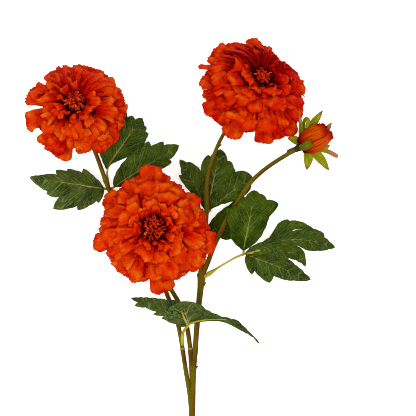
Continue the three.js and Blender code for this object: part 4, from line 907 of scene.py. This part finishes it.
# Tint and shade make a petal paler, or darker below nought: its own tint and painted light and shade,
# darkest on the under petals. The tips curl down by so many millimetres.
TINTS_AND_SHADES = {"rim": (0.25, 0.6), "filler": (-0.7, 0.1), "long": (-0.9, 0.3), "under": (-1.3, -0.6),
           "inner": (-0.6, 0.4)}
CURLS = {"rim": (0, 1.5), "under": (0, 2), "seen": (-0.8, 2), "inner": (-1, 1.5)}
WARMTH_SCATTER = 0.06
RUFFLED_WIDTH = 6
PETAL_GRIDS = {"wide": (24, 14), "narrow": (10, 9)}
NARROW = 3.2
PETAL_THICKNESS = 0.28
RIM_WIDTH = 1.12
RIM_UNEVENNESS = 0.25
FILLER_WIDTH, FILLER_DEPTH = 0.15, 0.05  # of the petals that fill the gaps between those of the rim
SEARCH_STEPS = 12
SEARCH_STRIDE = 0.7
REST_HEIGHT = 2 * MM
CRUMPLES = [(17, 1.0), (10, 0.65), (6, 0.25)]  # distance between two creases, and their height
WOBBLE = 0.2
NOTCH_DEPTH = 1.15
NOTCH_WIDTH = (0.75, 1.0)
FAN_DEPTH = 0.45
FRILL_DEPTH = 0.4
FRILL_LENGTH = (2.6, 3.8)
CURLED_FROM = 0.62
CORE = [(0, 0), (0.27, 0), (0.5, 0.1), (0.44, 0.34), (0.26, 0.44), (0.175, 0.36), (0.165, 0.34), (0, 0.34)]


def scaled(profile, radius):
    """A profile in millimetres, from shares of a bloom's radius"""
    return [(reach * radius, height * radius) for reach, height in profile]


def place_in_bloom(bloom, x, y):
    """The azimuth and reach of the petal whose tip the photograph shows at pixel x, y"""
    back = turn_of(bloom).inverted()
    height = bloom["centre"][2]
    for _ in range(SEARCH_STEPS):
        spot = from_photo(x, y, height) - Vector(bloom["centre"])
        spot.rotate(back)
        reach = math.hypot(spot.x, spot.y) / bloom["radius"]
        layer_height = np.interp(reach, LAYER_FORM[0], LAYER_FORM[5]) * bloom["radius"]
        height += SEARCH_STRIDE * (layer_height - spot.z)
    return math.atan2(spot.y, spot.x), reach


def seeded(seed):
    """Numbers from 0 to 1 in the same order every run"""
    while True:
        seed = (seed * 1664525 + 1013904223) % 2**32
        yield seed / 2**32


def drawn(random, low, high):
    """The next random number between two values"""
    return low + (high - low) * next(random)


def petals_of(name):
    """The petals of one bloom: the rim, those that the photograph shows, and those under and inside them"""
    bloom = BLOOMS[name]
    radius = bloom["radius"]
    random = seeded(bloom["seed"])
    between = lambda low, high: drawn(random, low, high)
    petals = []

    def add(azimuth, reach, half_width, warmth, root, bend, tip, curl):
        petal = {mood: between(*limits) for mood, limits in PETAL_MOODS.items()}
        petal.update(azimuth=azimuth, half_width=half_width, warmth=warmth, root=root, bend=bend, tip=tip,
                     curl=curl, spread=PETAL_SPREAD, length=reach * radius * PETAL_ARC,
                     ruffle=min(1, half_width / RUFFLED_WIDTH), uneven=1, streak=0)
        petals.append(petal)

    def add_in_layer(azimuth, reach, half_width, warmth, sunk, curl):
        form = [np.interp(reach, LAYER_FORM[0], column) * radius for column in LAYER_FORM[1:]]
        root, bend, tip = (form[0], form[1]), (form[2], form[3] - sunk), (reach * radius, form[4] - sunk)
        add(azimuth, reach, half_width, warmth, root, bend, tip, curl)

    rim = RIM_PETALS[name]
    for (azimuth, reach, half_width, height), follower in zip(rim, rim[1:] + rim[:1]):
        middle = azimuth + (follower[0] - azimuth) % 360 / 2
        if azimuth not in RIM_GAPS[name]:
            low, warmth = min(reach, follower[1]) - between(0.02, 0.08), between(*TINTS_AND_SHADES["filler"])
            add_in_layer(math.radians(middle), low, FILLER_WIDTH * radius, warmth, FILLER_DEPTH * radius,
                         between(*CURLS["rim"]))
        root, tip = scaled([RIM_ROOT, (reach, height)], radius)
        bend = (RIM_BEND[0] * reach * radius, (RIM_BEND[1] + height / 2) * radius)
        width = half_width * radius * RIM_WIDTH
        warmth = between(*TINTS_AND_SHADES["rim"])
        add(math.radians(azimuth), reach, width, warmth, root, bend, tip, between(*CURLS["rim"]))
        petals[-1]["uneven"] = RIM_UNEVENNESS
    first, last = LONG_PETALS[name]
    corners = np.array(rim)[:, :2].T
    for azimuth in range(first, last, LONG_STEP):
        for lift, low, high, warmth in LONG_ROWS:
            share = between(low, high) * np.interp(azimuth + LONG_STEP / 2, *corners, period=360)
            form = {}
            for part, (reach, height) in LONG_FORM.items():
                form[part] = (reach * radius, (height + lift) * radius)
            form["tip"] = (LONG_FORM["tip"][0] * share * radius, np.interp(share, *LONG_FALL) * radius)
            turn = math.radians(azimuth + between(0, LONG_STEP))
            form["warmth"] = warmth + between(*TINTS_AND_SHADES["long"])
            add(turn, share, between(*LONG_WIDTH) * radius, curl=between(*CURLS["rim"]), **form)
            petals[-1].update(roll=between(*LONG_ROLL), streak=LONG_EDGE_SHADE)
    for count, reach, half_width in UNDER_PETALS:
        turn = next(random)
        for i in range(count):
            azimuth = (i + turn + between(-0.3, 0.3)) / count * 2 * math.pi
            width = half_width * radius * between(0.9, 1.1)
            warmth, curl = between(*TINTS_AND_SHADES["under"]), between(*CURLS["under"])
            if not first < math.degrees(azimuth) % 360 < last:
                add_in_layer(azimuth, reach * between(0.92, 1.06), width, warmth, UNDER_DEPTH * radius, curl)
    for x, y, width, warmth in SEEN_PETALS[name]:
        azimuth, reach = place_in_bloom(bloom, x, y)
        half_width = width * PIXEL / MM * SEEN_WIDTH
        loose = LOOSENESS[name]
        add_in_layer(azimuth, reach, half_width, warmth, between(-loose, loose), between(*CURLS["seen"]))
    for x, y in DARK_FOLDS[name]:
        azimuth, reach = place_in_bloom(bloom, x, y)
        add_in_layer(azimuth, reach, FOLD_WIDTH, FOLD_SHADE, FOLD_DEPTH, 0)
    for count, reach, half_width in INNER_PETALS:
        turn = next(random)
        for i in range(count):
            azimuth = (i + turn + between(-0.6, 0.6)) / count * 2 * math.pi
            width = half_width * radius * between(0.6, 1.5)
            reach_now, sunk, warmth = reach * between(0.8, 1.3), between(-1.5, 4), between(*TINTS_AND_SHADES["inner"])
            if not first < math.degrees(azimuth) % 360 < last or reach_now < INNER_LIMIT:
                add_in_layer(azimuth, reach_now, width, warmth, sunk, between(*CURLS["inner"]))
    return petals, random


def rested(piece):
    """Press flat against the surface what would sink into it"""
    corners = corners_of(piece)
    heights = corners[:, 2]
    low = heights < REST_HEIGHT
    heights[low] = REST_HEIGHT * np.exp(heights[low] / REST_HEIGHT - 1)
    piece.data.vertices.foreach_set("co", corners.ravel())
    return piece


def crumpled(x, y, random):
    """Creases of a crushed sheet of silk at a spot, in millimetres"""
    height = 0
    for size, amount in CRUMPLES:
        for _ in range(2):
            heading, shift = next(random) * math.pi, next(random) * 2 * math.pi
            across = x * math.cos(heading) + y * math.sin(heading)
            height = height + amount * (1.3 - 2 * np.abs(np.sin(across * math.pi / size + shift)))
    return height


def petal_corners(petal, random, u, v):
    """Where a petal's corners go, and the painted light and shade that each takes from how far it stands
    out. The tip is rounded, crimped and curled.
    """
    between = lambda low, high: drawn(random, low, high)
    phase = lambda: between(0, 2 * math.pi)
    # The outline has rounded corners, a slow wobble and a row of small notches, and its columns lie closer
    # together towards the sides
    across = 0.6 * (2 * u - 1) + 0.4 * np.sin(np.pi * (u - 0.5))
    size, length = petal["half_width"], petal["length"]
    corner = size * between(0.3, 0.7) * (1 - np.sqrt(1 - 0.98 * across**2))
    wobble = WOBBLE * np.sin(between(2.6, 4.4) * across + phase()) + petal["tilt"] * across
    notch = np.abs(np.sin(size / between(*NOTCH_WIDTH) * across + phase()))
    notch = NOTCH_DEPTH * (1 - notch) * (0.6 + 0.4 * np.sin(5.3 * across + phase()))
    along = v**0.7 * (1 + (wobble * size * petal["uneven"] - corner - notch) / length)
    # Folds fan out from the foot, and a small frill runs along the edge
    x, y = across * size, along * length
    fan = np.cos(between(5, 10) * across + phase() + 0.6 * np.sin(3 * along))
    frill = np.sin(x * 2 * math.pi / between(*FRILL_LENGTH) + phase())
    tip = np.clip((along - CURLED_FROM) / (1 - CURLED_FROM), 0, 1)
    out = petal["ruffle"] * along * (crumpled(x, y, random) + FAN_DEPTH * fan)
    out = out + FRILL_DEPTH * petal["ruffle"] * frill * np.clip(along, 0, 1.1) ** 8
    relief = out - petal["curl"] * tip**2 * (1 + between(-0.6, 0.6) * across)
    # Painted light and shade: paler where the silk stands out, darker in its folds, and on long petals
    # darker along the sides
    relief_light_and_shade = np.clip(0.5 + out / 4 + petal["streak"] * (0.5 - np.abs(across)), 0, 1)
    return blade_place(petal, across, along, relief), relief_light_and_shade


# Silk: fibres that run along a petal from its foot, shifted by the petal's own number, and sharp creases
silk, given = shader_group("silk", "Fibres")
_, across, along = unrolled(silk)
fanned = calc(silk, "MULTIPLY", across, given["Fibres"])
offset = calc(silk, "MULTIPLY", own_value(silk, "warmth"), 97.0)
placed = put(silk, "CombineXYZ", {"X": fanned, "Y": along, "Z": offset}).outputs[0]
crushed = noise(silk, put(silk, "TexCoord").outputs["Object"], 190.0, 2.0, 0.6)
creases = calc(silk, "MULTIPLY_ADD", off_middle(silk, crushed), -4.0, 1.0)
give_out(silk, Fibre=noise(silk, placed, 1.6, 3.0, 0.6), Along=along,
         Edge=ranged(silk, off_middle(silk, across), 0.4, 0.5), Creases=creases)

petal_orange, tree, shader = new_material("petal_orange", Roughness=0.8, Specular_IOR_Level=0.02)
cloth = put(tree, "Group", {"Fibres": 14.0}, node_tree=silk).outputs
blotches, _ = mottled(tree, 170.0, 700.0)
# Painted shade: the silk darkens towards each petal's foot, deep in the bloom
level = calc(tree, "MULTIPLY_ADD", calc(tree, "MINIMUM", cloth["Along"], 0.8), 0.8, -0.77)
# What makes the silk paler or, below nought, darker. Painted shade darkens the very tip and the sides, where
# petals overlap; the crests, the blotches and each petal's tint and shade paint light and shade; the fibres
# and crinkles add small streaks.
pulls = [
    (ranged(tree, cloth["Along"], 0.86, 1.0), -0.2), (cloth["Edge"], -0.16), (cloth["Fibre"], 0.35),
    (own_value(tree, "warmth"), 0.26), (own_value(tree, "relief_light_and_shade"), 0.5), (cloth["Creases"], 0.14),
    (blotches, 0.4),
]
for source, share in pulls:
    level = calc(tree, "MULTIPLY_ADD", source, share, level)
orange = ramp(tree, level, [(0.0, (0.19, 0.0005, 0.0)), (0.14, (0.38, 0.001, 0.0)),
                            (0.36, (0.53, 0.006, 0.0002)), (0.58, (0.59, 0.025, 0.0003)),
                            (0.8, (0.65, 0.057, 0.0005)), (1.0, (0.68, 0.115, 0.003))])
dress(tree, shader, orange, calc(tree, "MULTIPLY_ADD", cloth["Fibre"], 0.25, cloth["Creases"]), 0.0011)

# Very dark red, partly painted shade for the deep well round each disc, the floor between the florets and
# the heart of the bud
core_shade_red = speckled("core_shade_red", (0.015, 0.0003, 0.0), (0.1, 0.001, 0.0), 0.9, 0.02)

templates = {}
for kind, (columns, rows) in PETAL_GRIDS.items():
    template = sheet("petal_" + kind, columns, rows, lambda u, v: np.column_stack([u, v, 0 * u]))
    for attribute in ("warmth", "relief_light_and_shade"):
        template.data.attributes.new(attribute, "FLOAT", "POINT")
    templates[kind] = (template, *(corners_of(template)[:, :2].T / MM))
for name, bloom in BLOOMS.items():
    radius = bloom["radius"]
    petals, random = petals_of(name)
    copies = []
    for petal in petals:
        template, u, v = templates["narrow" if petal["half_width"] < NARROW else "wide"]
        mesh = template.data.copy()
        corners, relief_light_and_shade = petal_corners(petal, random, u, v)
        mesh.vertices.foreach_set("co", (corners * MM).ravel())
        mesh.attributes["relief_light_and_shade"].data.foreach_set("value", relief_light_and_shade)
        warmth = petal["warmth"] + bloom["warmth"] + WARMTH_SCATTER * next(random)
        mesh.attributes["warmth"].data.foreach_set("value", np.full(len(relief_light_and_shade), warmth))
        copies.append(bpy.data.objects.new("petal", mesh))
        bpy.context.collection.objects.link(copies[-1])
    whole = coated(thickened(joined("petals", copies), PETAL_THICKNESS), petal_orange)
    core = coated(turned("core", scaled(CORE, radius)), core_shade_red)
    head = stand(joined(f"bloom_{name}_finish", [whole, core]), bloom["centre"], turn_of(bloom))
    hand_over(rested(head), "petal", f"bloom_{name}")
for template, *_ in templates.values():
    bpy.data.objects.remove(template)

# Discs
# The small curled florets in the middle of each bloom, dark red at the foot and paler at their tips.
FLORET_COUNT = 74
UPRIGHT_FLORETS = 44
FLORET_TURN = 2.4
FLORET_REACH = 0.13
FLORET_FOOT = 0.41
FLORET_LENGTH = (0.04, 0.13)
FLORET_BEND = (0.018, 0.048)
FLORET_SPREAD = {"left": 1, "centre": 1.05, "right": 0.7}
FLORET_SIDES = 6
FLORET_RADII = (0.5, 0.65, 0.65, 0.4)
DOME = [(0, 0.347), (0.145, 0.347), (0.15, 0.4), (0.1, 0.44), (0, 0.455)]

disc_red, tree, shader = new_material("disc_red", Roughness=0.8, Specular_IOR_Level=0.05)
paleness = calc(tree, "MULTIPLY_ADD", own_value(tree, "warmth"), 0.45, -0.12)
level = calc(tree, "MULTIPLY_ADD", unrolled(tree)[2], 0.6, paleness)
reds = ramp(tree, level, [(0.12, (0.04, 0.0006, 0.0)), (0.36, (0.4, 0.006, 0.0008)),
                          (0.62, (0.62, 0.045, 0.005)), (0.88, (0.7, 0.2, 0.055))])
dress(tree, shader, reds)


def floret(i, radius, spread, seed, random):
    """A curled floret: the outer ones lean out further than the upright ones in the middle"""
    leaning = i > UPRIGHT_FLORETS
    azimuth = i * FLORET_TURN + 0.8 * next(random)
    share = min(1.1, math.sqrt((i + 0.5) / UPRIGHT_FLORETS))
    distance = FLORET_REACH * spread * share * drawn(random, 0.8, 1)
    x, y, z = distance * math.cos(azimuth), distance * math.sin(azimuth), FLORET_FOOT * radius
    height = drawn(random, *FLORET_LENGTH) * radius
    curl = azimuth + (next(random) - 0.5) * (1.6 if leaning else 4)
    bend = drawn(random, *FLORET_BEND) * spread * (1.4 if leaning else 1)
    aside = lambda share: (x + share * bend * math.cos(curl), y + share * bend * math.sin(curl))
    places = [(x, y, z), (x * 1.08, y * 1.08, z + height * 0.6), (*aside(0.7), z + height),
              (*aside(1.8), z + 0.75 * height)]
    path = [(*place, radius) for place, radius in zip(places, FLORET_RADII)]
    clump = 0.6 + 0.4 * math.sin(3 * azimuth + seed)
    piece = rod("floret", path, sides=FLORET_SIDES, step=1.4)
    return marked(piece, "warmth", clump * (0.3 + 0.8 * next(random)))


for name, bloom in BLOOMS.items():
    radius = bloom["radius"]
    random = seeded(bloom["seed"] + 1)
    dome = turned("dome", scaled(DOME, radius), levels=1)
    spread = FLORET_SPREAD[name] * radius
    florets = [floret(i, radius, spread, bloom["seed"], random) for i in range(FLORET_COUNT)]
    parts = [coated(dome, core_shade_red)] + [coated(piece, disc_red) for piece in florets]
    disc = stand(joined(f"disc_{name}_finish", parts), bloom["centre"], turn_of(bloom))
    hand_over(disc, "disc", f"disc_{name}")

# Bud
# Petals rolled into a tight bud, in a small green cup whose long sepals have bent away from it.
BUD_RADIUS = 11.8
BUD_PETALS = [  # azimuth of the middle in degrees, width in turns, how far out it lies, and its length
    (180, 0.5, -0.6, 0.97), (130, 0.4, -0.2, 1.0), (-122, 0.34, 1.1, 0.9), (34, 0.4, 0.5, 1.04),
    (-50, 0.34, 1.4, 0.96), (-82, 0.26, -0.3, 0.98),
]
BUD_CUP = [(2.5, -BUD_CUP_DEPTH), (2.5, -4), (3, -2), (3.9, 0)]
BUD_CUP_SHADINESS = 0.95
POINTED = (0.8, 1, 0.92, 0.62, 0.28, 0.04)  # widths of a sepal from its foot to its tip
BLUNT = (0.5, 0.75, 0.95, 1, 0.9, 0.55)
BUD_SEPALS = [  # path in pixels of the photograph with heights in mm, form, half width, pinkness, shadiness
    ([(299, 142, 33), (294, 139.5, 33), (287.6, 138, 34)], POINTED, 3.5, 0, 0),
    ([(300.5, 135, 38), (301, 126, 43), (299.5, 115, 42)], POINTED, 2.0, 0.6, 0.4),
    ([(303.6, 131, 36), (303.8, 123, 36), (306, 118.3, 38), (308.4, 121, 41), (306, 128, 44)],
     BLUNT, 1.7, -0.4, 0),
    ([(308, 131, 34), (315, 121, 35), (322.7, 110.5, 38)], POINTED, 3.4, 0.12, 0),
    ([(320, 136, 32), (327, 129, 32), (331.7, 122.5, 33)], POINTED, 3, 1, 0),
    ([(307.5, 151, 34), (308.3, 158, 33), (306.7, 170, 33)], POINTED, 4.1, 0.12, 0),
    ([(312, 151, 34), (319.5, 157.5, 33), (329, 170.5, 34)], POINTED, 4, 0.12, 0),
    ([(316, 150.5, 33), (327, 151.3, 34), (338, 156.8, 36)], BLUNT, 2, 0.7, 0),
    ([(318, 150.5, 36), (325, 148, 38), (330, 145, 40)], POINTED, 2.6, 0.3, 0),
    ([(299.5, 147.5, 41), (304.5, 146.6, 48.5), (309, 144, 51.5), (311.6, 142.6, 50.5)],
     BLUNT, 3.3, -0.4, 0.55),
]
SEPAL_PLACES = (0, 0.25, 0.5, 0.75, 0.92, 1)
SEPAL_COLUMNS = 10
SEPAL_ROWS = 18
SEPAL_THICKNESS = 0.5
SEPAL_FOLD = 0.25
SEPAL_CREASE = 0.25
BUD_PETAL_COLUMNS = 32
BUD_PETAL_ROWS = 20
BUD_PETAL_INSET = 1.4
BUD_FLARE = 2.2
FLARED_FROM = 0.82
HEART_SHARES = (0.0, 0.2, 0.4, 0.6, 0.75)
HEART_FOOT = 0.3
HEART_TOP = 0.86
HEART_INSET = 3
bud_length = (BUD_TIP - BUD_BASE).length


def swell(share):
    """The bud's radius at a share of its length"""
    return BUD_RADIUS * np.sin(np.pi * (0.17 + 0.72 * np.clip(share, 0, 1))) ** 0.7


def bud_petal(azimuth, width, out, length, phase):
    """One furled petal, whose left edge lies over the next one"""

    def place(u, v):
        across = 2 * u - 1
        share = v * length * (1 - 0.1 * np.abs(across) ** 3 - 0.03 * np.abs(np.sin(8 * across + phase)))
        angle = math.radians(azimuth) + across * math.pi * width * (0.8 + 0.2 * v) + 0.15 * share
        opened = np.clip((v - FLARED_FROM) / (1 - FLARED_FROM), 0, 1)
        radius = swell(share) - BUD_PETAL_INSET + (out + 0.3 * across) * np.minimum(1, 4 * share)
        radius = radius + BUD_FLARE * opened**2 * np.sin(6 * across + phase)
        radius = radius + (0.25 * np.cos(13 * across + phase + 2 * v) + 0.1 * np.cos(31 * across)) * v
        return np.column_stack([radius * np.cos(angle), radius * np.sin(angle), share * bud_length])

    return marked(sheet("bud_petal", BUD_PETAL_COLUMNS, BUD_PETAL_ROWS, place), "warmth", phase / 7)


def sepal_along(path, form, half_width, pinkness, shadiness):
    """A creased sepal that shows its face along a path, pointed or blunt as its form says"""
    points = np.array([(*from_photo(*point), 0) for point in path])
    length = np.linalg.norm(np.diff(points, axis=0), axis=1).sum()
    line, directions = smooth_path(points, length / SEPAL_ROWS)
    sideways = np.cross(directions, (0, 0, 1))
    sideways = sideways / np.linalg.norm(sideways, axis=1)[:, None]
    normals = np.cross(sideways, directions)

    def place(u, v):
        along = v * (len(line) - 1)
        at = lambda values: np.column_stack([np.interp(along, range(len(line)), part) for part in values.T])
        across = 2 * u - 1
        half = half_width * np.interp(v, SEPAL_PLACES, form)
        lift = SEPAL_FOLD * np.abs(across) * half - groove(across, SEPAL_CREASE) * (1 - v)
        return at(line[:, :3]) + at(sideways) * (across * half)[:, None] + at(normals) * lift[:, None]

    piece = sheet("sepal", SEPAL_COLUMNS, SEPAL_ROWS, place)
    piece = marked(marked(piece, "pinkness", pinkness), "shadiness", shadiness)
    return close_seams(thickened(piece, SEPAL_THICKNESS), FINE_GAP)


furled_orange, tree, shader = new_material("furled_orange", Roughness=0.75, Specular_IOR_Level=0.02)
cloth = put(tree, "Group", {"Fibres": 20.0}, node_tree=silk).outputs
# Painted shade: the bud darkens at its foot, deep in the cup. It also darkens towards its tip and along each
# petal's edge.
body = ramp(tree, cloth["Along"], [(0.05, (0.03, 0.0003, 0.0)), (0.19, (0.31, 0.009, 0.0)),
                                   (0.4, (0.49, 0.055, 0.0003)), (0.76, (0.56, 0.08, 0.0003)),
                                   (0.9, (0.42, 0.012, 0.0)), (1.0, (0.24, 0.001, 0.0))])
edged = blend(tree, cloth["Edge"], body, (0.3, 0.003, 0.0))
streaks = ramp(tree, cloth["Fibre"], [(0.36, (0.58, 0.28, 0.3)), (0.53, (1, 1, 1))])
dress(tree, shader, blend(tree, 1.0, edged, streaks, "MULTIPLY"), cloth["Fibre"], 0.0004)

bud_side = (Vector((0, 0, 1)) - bud_axis * bud_axis.z).normalized()
bud_turn = Matrix((bud_side, bud_axis.cross(bud_side), bud_axis)).transposed().to_quaternion()
furled = joined("furled", [bud_petal(*petal, 1 + 0.7 * i) for i, petal in enumerate(BUD_PETALS)])
furled = coated(thickened(furled, PETAL_THICKNESS), furled_orange)
heart = [(swell(share) - HEART_INSET, share * bud_length + HEART_FOOT) for share in HEART_SHARES]
heart = coated(turned("heart", [(0, HEART_FOOT), *heart, (0, HEART_TOP * bud_length)]), core_shade_red)
bud = stand(joined("bud_petals_finish", [furled, heart]), BUD_BASE, bud_turn)
hand_over(bud, "petal", "bud_petals")

cup = [(0, -BUD_SEAT), (MOUTH_RADIUS, -BUD_SEAT), (MOUTH_RADIUS, -BUD_CUP_DEPTH), *BUD_CUP, (0, CUP_TOP)]
cup = marked(stand(turned("cup", cup), BUD_BASE, bud_turn), "shadiness", BUD_CUP_SHADINESS)
parts = [cup] + [sepal_along(*sepal) for sepal in BUD_SEPALS]
bud_cup = coated(joined("bud_calyx_finish", parts), sepal_green)
hand_over(bud_cup, "sepal", "bud_calyx")
